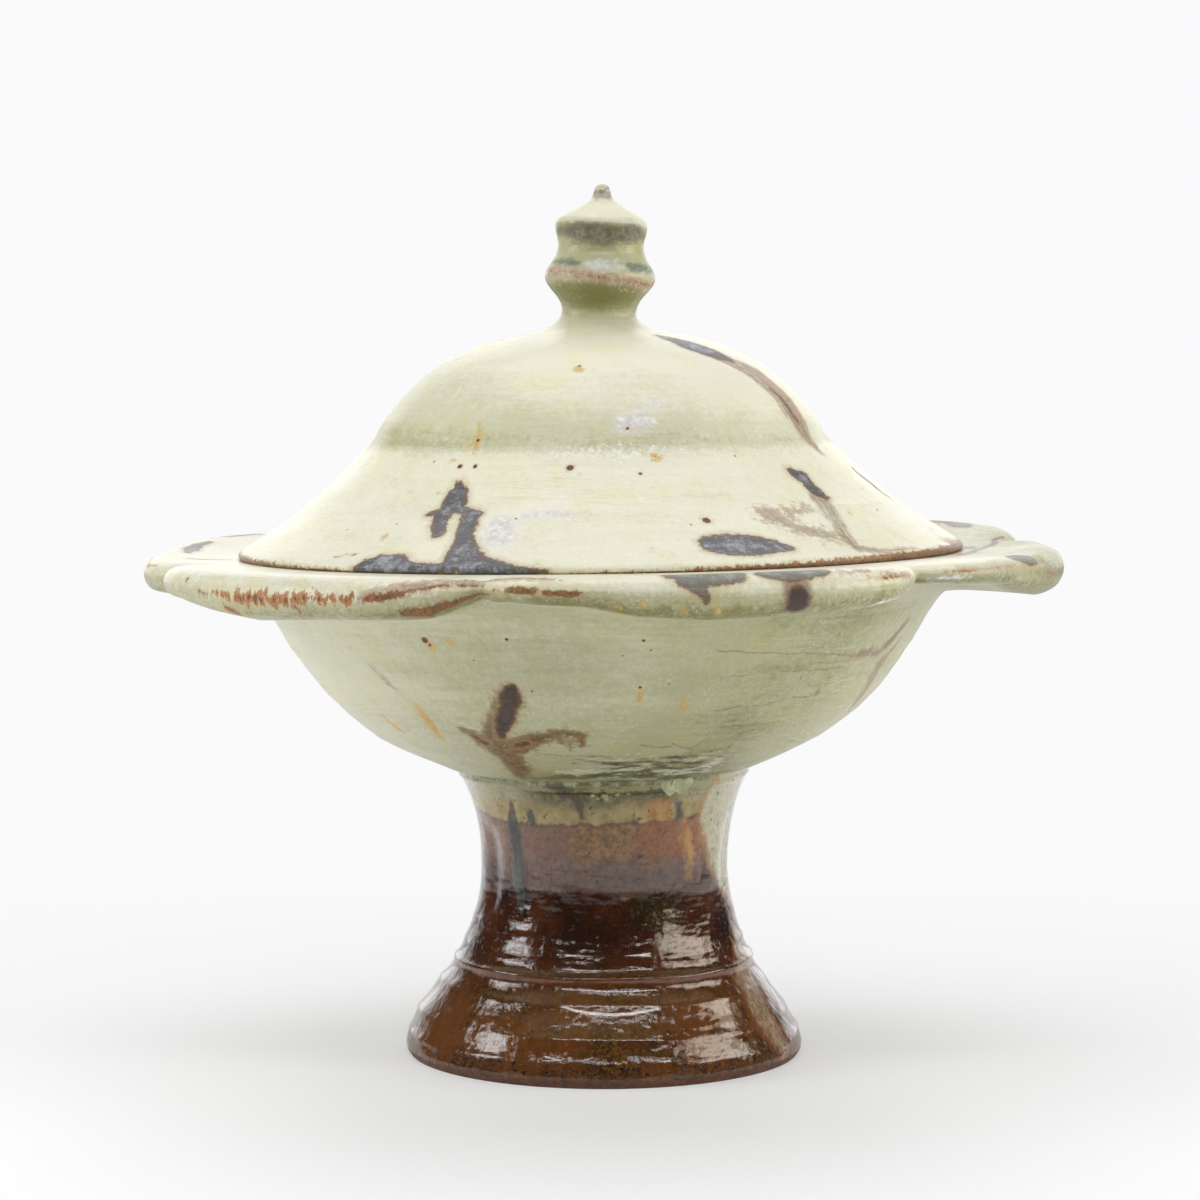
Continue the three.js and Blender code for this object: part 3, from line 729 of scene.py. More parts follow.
class Glaze:
    """The nodes of a material or world, written as expressions.

    A glaze keeps the colour and the relief that its layers have built up so far. A colour is
    another node's, or a painter's: red, green and blue as they read on a screen."""

    def __init__(self, owner):
        owner.use_nodes = True
        self.owner = owner
        self.tree = owner.node_tree
        self.tree.nodes.clear()

    def node(self, kind, settings=None, inputs=None, output=0):
        """Adds a node, sets its settings, then fills or links its sockets."""
        node = self.tree.nodes.new("ShaderNode" + kind)
        for name, value in (settings or {}).items():
            if name == "stops":
                self.set_stops(node.color_ramp, value)
            else:
                setattr(node, name, value)
        for name, value in (inputs or {}).items():
            if isinstance(value, Value):
                self.tree.links.new(value.socket, node.inputs[name])
            else:
                node.inputs[name].default_value = value
        return Value(self, node.outputs[output])

    def set_stops(self, ramp, stops):
        ramp.interpolation = "EASE"
        while len(ramp.elements) < len(stops):
            ramp.elements.new(0.5)
        for element, (place, colour) in zip(ramp.elements, stops):
            element.position = place
            element.color = colour

    @cached_property
    def place(self):
        """Where the surface is, in millimetres."""
        found = self.node("TexCoord", output="Object")
        return self.vector("SCALE", {0: found, "Scale": 1 / MM})

    def maths(self, operation, *values):
        return self.node("Math", {"operation": operation}, dict(enumerate(values)))

    def vector(self, operation, inputs, output=0):
        return self.node("VectorMath", {"operation": operation}, inputs, output)

    def note(self, name):
        """What the wall keeps for each of its points under a name."""
        return self.node("Attribute", {"attribute_name": name}, output="Fac")

    def noise(self, size, detail=3, rough=0.55, along=1, up=1, shift=0):
        """A soft mottle from about -1 to 1, with swells of about the given size.

        They may be stretched round the pot and up it. The shift moves them, so that two noises
        of one size don't lie on each other."""
        where = self.place
        if (along, up) != (1, 1):
            where = self.vector("MULTIPLY", {0: where, 1: (1 / along, 1 / along, 1 / up)})
        if shift:
            where = self.vector("ADD", {0: where, 1: (shift, shift, shift)})
        inputs = {"Vector": where, "Scale": 0.7 / size, "Detail": detail, "Roughness": rough}
        return self.node("TexNoise", {}, inputs) * 4 - 2

    def mix(self, share, first, second):
        first, second = (c if isinstance(c, Value) else paint(*c) for c in (first, second))
        inputs = {"Factor": share, 6: first, 7: second}
        return self.node("Mix", {"data_type": "RGBA"}, inputs, 2)

    def lay(self, share, colour):
        """Covers the colour so far with another, by a share."""
        self.colour = self.mix(share, self.colour, colour)

    def tint(self, share, *parts):
        """Makes the red, green and blue of the colour so far stronger or weaker, by a share."""
        settings = {"data_type": "RGBA", "blend_type": "MULTIPLY"}
        self.colour = self.node("Mix", settings, {"Factor": share, 6: self.colour, 7: (*parts, 1)}, 2)

    def lay_layers(self, layers, noted, frayed, mottle):
        """Lays each kind of mark that the wall has noted over the glaze, from the lowest up."""
        for mark, soft, ragged, cover, dark, light in layers:
            if mark in noted:
                edge = self.note(mark) + frayed * ragged
                self.lay(edge.step(-soft / 2, soft / 2) * cover, mottle.tones(dark, light))

    def surface(self, inputs, strength, distance):
        """Ends the glaze in its colour and relief, and in what else the surface is given."""
        height = {"Height": self.relief, "Strength": strength, "Distance": distance * MM}
        inputs = {"Base Color": self.colour, "Normal": self.node("Bump", {}, height), **inputs}
        return self.close(self.node("BsdfPrincipled", {}, inputs))

    def close(self, shader, kind="OutputMaterial"):
        out = self.tree.nodes.new("ShaderNode" + kind)
        self.tree.links.new(shader.socket, out.inputs["Surface"])
        return self.owner


# What lies on the ash glaze, from the lowest layer up: the attribute that marks it, how many
# millimetres its edge takes to fade, how ragged the edge is, how well it covers, and its two
# mottled colours.
ASH_LAYERS = [
    ("smoke", 2.4, 1, 0.9, (80, 74, 52), (132, 126, 104)),
    ("soot", 1.2, 1.4, 0.8, (92, 86, 72), (184, 180, 168)),
    ("teal", 1.3, 0.9, 0.85, (66, 86, 76), (134, 146, 132)),
    ("pearl", 1.8, 0.9, 0.75, (192, 202, 206), (226, 226, 218)),
    ("blush", 1.8, 1.9, 0.8, (134, 92, 68), (208, 186, 168)),
    ("scuff", 3.4, 3, 0.72, (116, 80, 52), (188, 158, 126)),
    ("murk", 1.4, 1.4, 0.85, (70, 72, 44), (126, 128, 88)),
    ("shard", 0.6, 1.1, 0.85, (186, 188, 156), (220, 220, 196)),
    ("stain", 2.2, 1.3, 0.92, (84, 56, 22), (148, 110, 60)),
    # Whitish thick glaze on the lid, and a painted sheen on the rim.
    ("bloom", 2.6, 1.8, 0.95, (204, 200, 198), (240, 238, 232)),
    ("ochre", 1.3, 0.9, 0.85, (190, 140, 44), (220, 186, 96)),
]
# The same for the foot's glaze.
FOOT_LAYERS = [
    ("drops", 0.4, 0.5, 0.85, (150, 154, 108), (196, 200, 156)),
    ("comma", 1.2, 0.9, 0.85, (48, 30, 20), (84, 58, 34)),
    ("drip", 1.2, 0.8, 0.85, (84, 38, 16), (116, 62, 28)),
    ("streak", 1.2, 1, 0.9, (34, 36, 34), (92, 94, 90)),
    ("black", 0.8, 0.7, 0.9, (14, 15, 16), (30, 32, 34)),
    ("amber", 2, 1.2, 0.8, (150, 100, 42), (186, 140, 66)),
]
# The colours of brushed iron: its core, the scum on the core, and its edge.
LID_IRON = ((84, 85, 89), (164, 166, 172), (102, 74, 52))
RIM_IRON = ((106, 108, 98), (152, 154, 142), (112, 84, 58))
BOWL_IRON = ((50, 38, 30), (84, 62, 46), (106, 70, 44))

# How far the ochre halo of a speck reaches, by the speck's own radius.
HALO = 1.7
# How far apart the faint specks lie that are scattered over all of the ash glaze.
DUST_SPACING = 7
# The reach at which the rim's roll faces the front.
ROLL_FRONT = 37


def ash_ground(glaze):
    """The ash by itself: creamy where it is thin, green where it pools and where shade is painted, and
    a little uneven.
    """
    colours = bpy.context.scene.dish_glaze
    cloud = glaze.cloud = glaze.noise(16)
    patch = glaze.patch = glaze.noise(6, shift=30)
    grain = glaze.grain = glaze.noise(0.8)
    fray = glaze.fray = glaze.noise(1.5, 4, 0.7)
    wheel = glaze.noise(9, up=0.08)
    thrown = glaze.noise(16, 2, along=3, up=0.3, shift=200)
    coarse = glaze.note("coarse")
    fine = (grain + fray) * 0.07 + glaze.noise(5, along=0.35, up=3) * 0.03
    tone = glaze.note("pool") + (cloud * 0.06 + patch * 0.05 + fine) * coarse
    glaze.colour = glaze.node("ValToRGB", {"stops": [
        (0.0, colours.thin), (0.3, colours.straw), (0.55, colours.celadon), (0.78, colours.deep),
        (1.0, colours.shadow),
    ]}, {"Fac": tone + wheel * 0.035 + thrown * 0.05})
    warm = (patch + fray * 0.4 - cloud * 0.6).step(-0.1, 0.9)
    glaze.tint(warm * 0.6, 1.01, 0.97, 0.78)
    milky = (glaze.noise(7, 4, 0.65, shift=60) + wheel * 0.3).step(0.1, 1)
    glaze.tint(milky * 0.4, 1.04, 1.05, 1.14)
    glaze.tint(thrown.step(0, 1) * 0.5, 0.99, 1, 1.08)
    veil = (glaze.noise(0.55, 3, 0.7, shift=90) + (cloud - patch) * 0.3).step(0.25, 0.8)
    glaze.lay(veil * coarse * 0.36, (246, 244, 232))
    glaze.relief = grain * 0.25 + glaze.noise(3, 2) * 0.5 + wheel * 0.8 + (fray + veil) * 0.3


def wrinkled(glaze):
    """Fine pale folds where the glaze crept together, along the wheel's marks."""
    folds = glaze.noise(2.6, 3, 0.6, along=5, up=0.45, shift=120)
    folds = folds.size().step(0.12, 0.01) * (glaze.note("wrinkle") + glaze.patch).step(0, 0.8)
    glaze.lay(folds * 0.22, (247, 244, 230))
    glaze.relief += folds * 0.8


def crawled(glaze):
    """Dark skin and pale shards, where the thick glaze above the foot crawled."""
    streaks = glaze.noise(1.7, 5, 0.75, along=2.4, up=0.5)
    crawl = glaze.note("crawl")
    dark = (crawl + streaks * 1.2).step(1.05, 1.35)
    glaze.lay(dark * 0.9, (74, 78, 52))
    pale = (crawl * 0.9 - streaks + glaze.fray * 0.4).step(1, 1.4)
    glaze.lay(pale * 0.75, (214, 215, 192))
    glaze.relief += (pale - dark) * 0.8


def frosted(glaze):
    """White flecks, where the glaze thickened in the bend between skirt and dome."""
    flecks = (glaze.noise(0.7, 4, 0.75) + glaze.note("frost")).step(0.4, 0.75)
    glaze.lay(flecks * 0.8, (246, 244, 230))
    glaze.relief += flecks * 0.8


def bristles(glaze, kind, size):
    """Streaks that follow a brushed stroke, from where a point lies across the brush."""
    slow = glaze.vector("SCALE", {0: glaze.place, "Scale": 0.09})
    across = glaze.note(kind + " across") / size
    shift = glaze.node("CombineXYZ", {}, {"X": across * 1.4})
    where = glaze.vector("ADD", {0: slow, 1: shift})
    return glaze.node("TexNoise", {}, {"Vector": where, "Scale": 1, "Detail": 3}) * 4 - 2


def washed(glaze):
    """Iron brushed on so thin and dry that the glaze shows between its streaks."""
    bristle = bristles(glaze, "wash", 1.3)
    edge = glaze.note("wash") + glaze.fray * 0.7 + bristle * 0.5
    dry = (bristle + glaze.grain * 0.4).step(-1.2, 0.6)
    brown = (bristle + glaze.fray * 0.5).step(-0.8, 0.9).tones((104, 72, 44), (166, 132, 96))
    glaze.lay(edge.step(-1, 1.2) * (dry * 0.7 + 0.3) * 0.88, brown)


def rusted(glaze):
    """Rust, where the glaze broke over an edge."""
    fibre = glaze.noise(0.9, 4, 0.75, along=0.6, up=1.8, shift=44)
    worn = glaze.note("rust") + (glaze.fray + fibre) * 0.7
    bare = worn.step(-0.1, 0.5)
    glaze.lay(worn.step(-0.7, 0.1) * 0.35, (188, 148, 96))
    brown = (fibre + glaze.fray * 0.5).step(-0.6, 0.6).tones((74, 40, 12), (150, 94, 36))
    glaze.lay(bare * 0.9, brown)
    glaze.relief -= bare * 0.6


def ticked(glaze):
    """Short rust ticks, side by side along the roll."""
    hatch = glaze.noise(1.3, 3, 0.7, along=0.8, up=2) * 2.2
    worn = glaze.note("ticks") + hatch
    glaze.lay((worn + glaze.fray * 0.5).step(0.1, 0.7) * 0.88, (168, 102, 38))
    glaze.lay(worn.step(1.3, 2) * 0.85, (104, 56, 20))


def burnt(glaze):
    """Patches burnt nearly black, the more so where the roll turns under."""
    edge = glaze.note("burnt") + glaze.fray * 0.4 + glaze.grain * 0.2
    glaze.lay(edge.step(-1, 0.5) * 0.85, (128, 100, 84))
    under = (glaze.note("reach") - ROLL_FRONT).least(0.6) * 0.5
    glaze.lay((edge + under).step(0.2, 1.5) * 0.92, (52, 30, 24))


def inked(glaze, core, scummed, fringe):
    """Thick brushed iron: a grey core with scum on it, a brown edge and a pale ochre halo."""
    feather = glaze.noise(0.7, 4, 0.8, shift=77)
    edge = glaze.note("ink") + glaze.fray * 0.5 + feather * 0.4 + bristles(glaze, "ink", 0.9) * 0.2
    glaze.lay(edge.step(-2.2, -0.2) * 0.4, (182, 150, 104))
    stroke = edge.step(-0.7, 0.1)
    glaze.lay(stroke * 0.95, fringe)
    centre = (edge + glaze.patch * 0.3).step(-0.1, 0.9)
    glaze.lay(centre * 0.96, core)
    scum = glaze.fray * 0.7 + feather * 0.6 + glaze.patch * 0.9 + edge * 0.25
    scum = scum.step(0, 1.3) * centre
    glaze.lay(scum * 0.9, scummed)
    glaze.relief += (scum - stroke) * 0.3


def crazed(glaze, along, climbing):
    """Fine grey cracks, along the wall and up it."""
    x, y = (glaze.node("SeparateXYZ", {}, {0: glaze.place}, axis) for axis in "XY")
    turn = glaze.maths("ARCTAN2", x, y * -1) * math.degrees(1)
    level = glaze.note("level")
    drift = glaze.noise(2.6, 4, 0.6)
    lines = []
    for start, low, end, high, half in along:
        share = (turn - start) / (end - start)
        away = (level + drift * 0.5 - (share * (high - low) + low)).size()
        lines.append(away.step(half * 2, half * 0.6) * (share - 0.5).size().step(0.52, 0.4))
    for at, low, high, half in climbing:
        away = (turn + drift * 1.2 + (level - low) * 0.15 - at).size()
        middle = (level - (low + high) / 2).size() / (high - low)
        lines.append(away.step(half * 2.4, half) * middle.step(0.55, 0.4))
    cracks = reduce(Value.most, lines) * glaze.noise(3.2, shift=40).step(-0.7, 0.1)
    glaze.lay(cracks * 0.5, (104, 106, 92))
    glaze.relief -= cracks * 1.2


def speckled(glaze, wall, specks):
    """Single iron specks, each in an ochre halo."""
    shares = []
    for turn, height, radius in specks:
        ends = {0: glaze.place, 1: wall.spot(turn, height)}
        shares.append(glaze.vector("DISTANCE", ends, "Value") / radius)
    near = reduce(Value.least, shares)
    glaze.lay((near / HALO + glaze.fray * 0.5).step(1.2, 0.4) * 0.5, (206, 168, 96))
    glaze.lay((near + glaze.fray * 0.2).step(1.1, 0.7), (92, 48, 22))


def dusted(glaze):
    """A sparse scatter of faint specks: one in some of the cells that the glaze is cut into."""
    cell = {"Vector": glaze.place, "Scale": 1 / DUST_SPACING}
    chance = glaze.node("TexVoronoi", {}, cell, "Color")
    some = glaze.node("SeparateColor", {}, {"Color": chance}, "Red").step(0.72, 0.74)
    away = glaze.node("TexVoronoi", {}, cell, "Distance") * DUST_SPACING
    glaze.lay(away.step(0.34, 0.16) * some * 0.75, (120, 92, 48))


def ash_glaze(name, wall, iron=LID_IRON, specks=None, cracks=None):
    """Straw to celadon ash glaze with all the marks that a wall has noted."""
    glaze = Glaze(bpy.data.materials.new(name))
    noted = wall.piece.data.attributes.keys()
    ash_ground(glaze)
    if "wrinkle" in noted:
        wrinkled(glaze)
    mottle = ((glaze.fray + glaze.grain) * 0.7).step(-0.7, 0.8)
    glaze.lay_layers(ASH_LAYERS, noted, glaze.fray + glaze.grain * 0.5, mottle)
    finishes = {
        "crawl": crawled, "frost": frosted, "wash": washed, "rust": rusted, "ticks": ticked,
        "burnt": burnt,
    }
    for mark, finish in finishes.items():
        if mark in noted:
            finish(glaze)
    if "ink" in noted:
        inked(glaze, *iron)
    if cracks:
        crazed(glaze, *cracks)
    if specks:
        speckled(glaze, wall, specks)
    dusted(glaze)
    return glaze.surface({
        "Roughness": (glaze.cloud + glaze.fray * 0.5).step(-1, 1) * 0.14 + 0.38,
        "Specular IOR Level": 0.45,
        "Coat Weight": 0.3,
        "Coat Roughness": 0.22,
    }, strength=0.6, distance=0.2)


def iron_ground(glaze):
    """The foot's own glaze: iron brown, olive in places, a mauve band above it, and a milky haze with a
    painted reflection of the white floor.
    """
    level, fray, cloud, run = glaze.level, glaze.fray, glaze.cloud, glaze.run
    gold = (glaze.noise(0.6, 4, 0.75, shift=50) + cloud * 0.5).step(0.05, 0.9)
    deep = (cloud + glaze.wheel * 0.2 + fray * 0.3).step(-0.8, 0.8).tones((40, 17, 5), (74, 34, 12))
    deep = glaze.mix(gold * 0.4, deep, (104, 68, 26))
    olive = (glaze.note("olive") + fray * 1.4).step(-1.4, 1.6) * 0.85
    deep = glaze.mix(olive, deep, gold.tones((44, 34, 14), (96, 80, 38)))
    low = (cloud + run * 0.6).step(-0.6, 0.9).tones((100, 58, 22), (58, 31, 12))
    low = glaze.mix(gold * 0.6, low, (124, 92, 40))
    glaze.colour = glaze.mix((level + glaze.wheel * 1.5 + cloud * 2).step(12, 30), low, deep)
    band = glaze.speckle.tones((98, 66, 48), (128, 90, 66))
    tawny = glaze.speckle.tones((98, 66, 32), (152, 110, 54))
    band = glaze.mix((glaze.note("tawny") + fray * 3).step(-3, 3), band, tawny)
    rusty = glaze.speckle.tones((114, 66, 32), (146, 92, 46))
    band = glaze.mix((glaze.note("rusty") + fray * 2.4).step(-2, 3), band, rusty)
    glaze.lay((level + fray * 0.8 + run * 1.2).step(43, 50), band)
    # A milky haze across the front of the waist, partly a painted reflection of the white floor.
    haze = (glaze.note("haze") + run * 0.7 + fray * 0.5).step(-0.1, 0.45)
    glaze.lay(haze * 0.6, glaze.speckle.tones((98, 74, 60), (126, 102, 88)))


def ash_apron(glaze):
    """The khaki ash that ran onto the foot from the bowl, and the dark pool along the joint, with
    painted shade at the front.
    """
    level, fray, run = glaze.level, glaze.fray, glaze.run
    khaki = (fray + run * 0.6).step(-0.9, 0.9).tones((136, 118, 68), (170, 152, 98))
    drawn = glaze.noise(2.4, 4, 0.65, along=0.6, up=2.2, shift=15)
    patches = (drawn + glaze.speckle * 0.4).step(-0.5, 0.8)
    murk = patches.tones((62, 56, 30), (120, 112, 70))
    clear = patches.tones((134, 130, 98), (172, 166, 128))
    # Painted shade: the band is darker at the front, under the bowl, and clearer at the sides.
    front = (glaze.note("front") + drawn * 0.3).step(0.2, 0.8)
    high = (level + (run + drawn) * 1.4 + glaze.cloud).step(58.8, 61.8)
    khaki = glaze.mix(high, khaki, glaze.mix(front, clear, murk))
    pooled = (drawn * 0.8 + fray * 0.4).step(-0.4, 0.7).tones((92, 96, 60), (168, 172, 130))
    khaki = glaze.mix((level + fray * 0.4 + drawn * 0.5).step(64.8, 65.7), khaki, pooled)
    # A painted highlight along the crest of the bead at 64.6, and painted shade just under the bead,
    # both at the front.
    line = (level + fray * 0.3 + drawn * 0.4 - 64.6).size().step(0.7, 0.25) * front
    khaki = glaze.mix(line * 0.7, khaki, (146, 144, 78))
    under = (level + (fray + drawn) * 0.4 - 63.6).size().step(0.5, 0.1) * front
    khaki = glaze.mix(under * 0.5, khaki, (52, 48, 24))
    ash = glaze.note("ash") + run * 0.5 + fray * 0.3
    glaze.lay(ash.step(-0.2, 0.3), khaki)
    glaze.lay(ash.size().step(0.7, 0.1) * 0.6, (84, 54, 32))


def ash_run(glaze):
    """The pale runs down the foot's flanks: whitish high up, brown and thin below."""
    level, fray, run = glaze.level, glaze.fray, glaze.run
    pale = glaze.note("run") + fray * 0.8 + run * 0.9
    edge = level.step(26, 38).tones((126, 76, 40), (158, 116, 54))
    glaze.lay(pale.step(-2.4, -0.2) * 0.7, edge)
    body = glaze.speckle.tones((156, 152, 118), (190, 186, 156))
    thin = glaze.speckle.tones((128, 104, 78), (176, 158, 132))
    body = glaze.mix((level + run * 2).step(30, 40), thin, body)
    streaked = (level + run * 12 + fray * 6).step(18, 38) * 0.2 + 0.7
    glaze.lay(pale.step(-0.6, 1.2) * streaked, body)


def brown_glaze(name, wall):
    """Glossy iron brown that the ash has run into from the bowl."""
    glaze = Glaze(bpy.data.materials.new(name))
    level = glaze.level = glaze.note("level")
    fray = glaze.fray = glaze.noise(1.7, 4, 0.7)
    cloud = glaze.cloud = glaze.noise(9)
    run = glaze.run = glaze.noise(4, along=0.4, up=4)
    wheel = glaze.wheel = glaze.noise(9, up=0.08)
    grain = glaze.noise(0.7)
    speckle = glaze.speckle = (fray * 0.6 + grain * 0.7).step(-0.8, 0.8)
    iron_ground(glaze)
    ash_apron(glaze)
    ash_run(glaze)
    noted = wall.piece.data.attributes.keys()
    glaze.lay_layers(FOOT_LAYERS, noted, fray, (run + fray * 0.5).step(-0.6, 0.9))
    crest = (level + fray * 0.25 + wheel * 0.3 - FOOT_CREST).size().step(0.9, 0.1)
    glaze.lay(crest * (cloud + fray * 0.5).step(-0.9, 0.5) * 0.4, (132, 74, 40))
    specks = (glaze.noise(0.8, 2, shift=9) + level.step(7, 3.5) * 0.35).step(0.62, 0.78)
    glaze.lay(specks * 0.75, (22, 18, 12))
    bare = (level + (grain + fray) * 0.3).step(1.9, 1.4)
    glaze.lay(bare, speckle.tones((74, 40, 22), (108, 66, 40)))
    fine = grain * 0.07 + fray * 0.3 + run * 0.25 + glaze.noise(2.2, 2, shift=8) * 0.4
    rings = glaze.noise(7, 1, up=0.25, shift=70) * 1.1
    glaze.relief = fine + glaze.noise(4, 2) * 1.3 + rings - specks * 0.5
    return glaze.surface({
        "Roughness": bare * 0.35 + 0.1 + fray.step(-0.5, 1) * 0.06,
        "IOR": 1.5,
        "Coat Weight": (1 - bare) * 0.6,
        "Coat IOR": 1.5,
        "Coat Roughness": 0.06,
    }, strength=0.45, distance=0.24)


def bare_clay(name):
    """Toasted stoneware without glaze."""
    glaze = Glaze(bpy.data.materials.new(name))
    glaze.relief = glaze.noise(0.8, 4)
    glaze.colour = glaze.relief.step(-1, 1).tones((138, 90, 60), (176, 128, 92))
    return glaze.surface({"Roughness": 0.85}, strength=0.5, distance=0.3)


class DishShape(bpy.types.PropertyGroup):
    """Sizes of the pot that a maker would change."""

    lean: bpy.props.FloatProperty(
        name="Lean", description="How far the pot tilts to the left above its foot",
        default=math.radians(0.87), subtype="ANGLE")
    unevenness: bpy.props.FloatProperty(
        name="Unevenness", description="How far the hand-thrown walls wander",
        default=0.35 * MM, min=0, unit="LENGTH")


def glaze_colour(name, place, *colour):
    return bpy.props.FloatVectorProperty(
        name=name, description="Ash glaze " + place, size=4, default=paint(*colour),
        subtype="COLOR", min=0, max=1)


class DishGlaze(bpy.types.PropertyGroup):
    """Colours of the ash glaze, from thin to thick."""

    thin: glaze_colour("Thin ash", "where it is thinnest", 240, 237, 221)
    straw: glaze_colour("Straw ash", "on open faces", 233, 230, 206)
    celadon: glaze_colour("Celadon", "where it is thick", 209, 207, 177)
    # The two darkest colours also serve as painted shade: in the bowl, under the roll and in the knob's
    # neck.
    deep: glaze_colour("Pooled ash", "where it pools", 178, 176, 136)
    shadow: glaze_colour("Thickest ash", "in the knob's neck", 128, 126, 72)


def lamp_power(name, use, watts):
    return bpy.props.FloatProperty(
        name=name, description="Power of the " + use, default=watts, min=0, unit="POWER")


class DishStage(bpy.types.PropertyGroup):
    """The light on the pot."""

    key: lamp_power("Front light", "wide light above the camera", 4.3)
    top: lamp_power("Top light", "broad light overhead", 6.7)
    side: lamp_power("Side lights", "light at either side", 3.8)
    room: bpy.props.FloatProperty(
        name="Room light", description="Strength of the light from the room in front",
        default=0.06, min=0)
    backdrop: bpy.props.FloatProperty(
        name="Backdrop light", description="Strength of the light from the white backdrop",
        default=1.7, min=0)


class DISH_OT_foot(bpy.types.Operator):
    """Throw the hollow pedestal foot"""

    bl_idname = "dish.throw_foot"
    bl_label = "Throw the foot"

    def execute(self, context):
        runs = [
            (FOOT_OUTSIDE, 0.5), (FOOT_RING, HIDDEN), (FOOT_INSIDE, 1.6), (FOOT_SHOULDER, HIDDEN),
        ]
        wall = Wall("glazed_foot", runs, FOOT_BASE, steps=420)
        self.press(wall)
        height, turn = wall.height, wall.turn
        fade = eased(height, 1.5, 5) * eased(-height, -66.4, -65.6)
        wall.ridge(FOOT_RIDGES, seed=31, base=-0.3, fade=fade)
        wall.note("ash", height - ASH_LINE - waver(wall.points, size=30, seed=3) * 0.8)
        # The mauve haze over the front of the waist is milky glaze and a painted reflection of the
        # white floor.
        lower = HAZE_AND_REFLECTION_LINE + waver(wall.points, size=16, seed=5) * 0.9 + eased(turn, 10, 40) * 1.2
        haze = np.minimum(height - lower, (48.6 - height) * 0.3)
        wall.note("haze", np.minimum(haze, wedge(turn, -38, 50) * 0.4))
        wall.note("rusty", wedge(turn, 15, 60) * 0.5)
        wall.note("tawny", wedge(turn, -14, 16) * 0.5)
        wall.note("olive", np.minimum(wedge(turn, 12, 34) * 0.45, wedge(height, 32.9, 40.1)))
        # How much painted shade darkens the band at the joint, by turn: most at the front, under the
        # bowl.
        turns = [-80, -38, -22, 20, 34, 60]
        wall.note("front", np.interp(turn, turns, [0.2, 0.3, 0.9, 1, 0.4, 0.2]))
        wall.note("run", wall.inside(FOOT_RUN))
        wall.brush(FOOT_MARKS)
        wall.finish("dish", "pedestal_foot", "brown_glaze")
        wall.glaze(brown_glaze("iron brown glaze", wall))
        return {"FINISHED"}

    def press(self, wall):
        """Presses the shallow dents that a thumb left in the waist."""
        for turn, low, high, wide, depth in FOOT_DENTS:
            share = np.exp(-(between(wall.turn, turn) / wide) ** 2)
            share = share * eased(wall.height, low, low + 6) * eased(-wall.height, -high, 6 - high)
            wall.set_radius(wall.radius - depth * share * wall.faces_out)


class DISH_OT_bowl(bpy.types.Operator):
    """Throw the bowl"""

    bl_idname = "dish.throw_bowl"
    bl_label = "Throw the bowl"

    def execute(self, context):
        runs = [(BOWL_OUTSIDE, SHOWN), (BOWL_UNDER, 4), (BOWL_INSIDE, 1.5), (BOWL_LIP, HIDDEN)]
        wall = Wall("glazed_bowl", runs, BOWL_BASE, steps=540)
        height, turn = wall.height, wall.turn
        fade = eased(height, 67, 70) * eased(-height, -100, -97)
        wall.ridge(BOWL_RIDGES, seed=51, fade=fade)
        # The pool is partly thick ash and partly painted shade: the bowl lies in the rim's shade,
        # darker still towards the foot.
        levels = [66, 68, 71, 76, 85, 95, 103]
        pool = np.interp(height, levels, [0.95, 0.86, 0.78, 0.73, 0.7, 0.68, 0.67])
        # Painted side light and shade: lighter at the left, at the far right and low on the right,
        # darker just right of the front.
        pool -= painted_side_light(turn) + 0.14 * flank(turn, 20, 50) * eased(-height, -90, -75)
        wall.note("pool", np.where(wall.faces_out, pool, 0.5))
        wall.note("coarse", np.full(len(pool), 0.45))
        wall.brush(BOWL_MARKS)
        band = (0.1 + 0.9 * eased(-height, -76.5, -73)) * eased(-height, -78, -74)
        band = band * eased(turn, -20, 2) * eased(-turn, -60, -26)
        wall.note("crawl", band * wall.faces_out)
        wall.note("wrinkle", flank(turn, 5, 40) * wall.faces_out - 0.65)
        wall.finish("dish", "bowl", "pale_glaze")
        cracks = (BOWL_CRAZE, BOWL_CLIMBING_CRAZE)
        wall.glaze(ash_glaze("bowl glaze", wall, BOWL_IRON, BOWL_SPECKS, cracks))
        return {"FINISHED"}


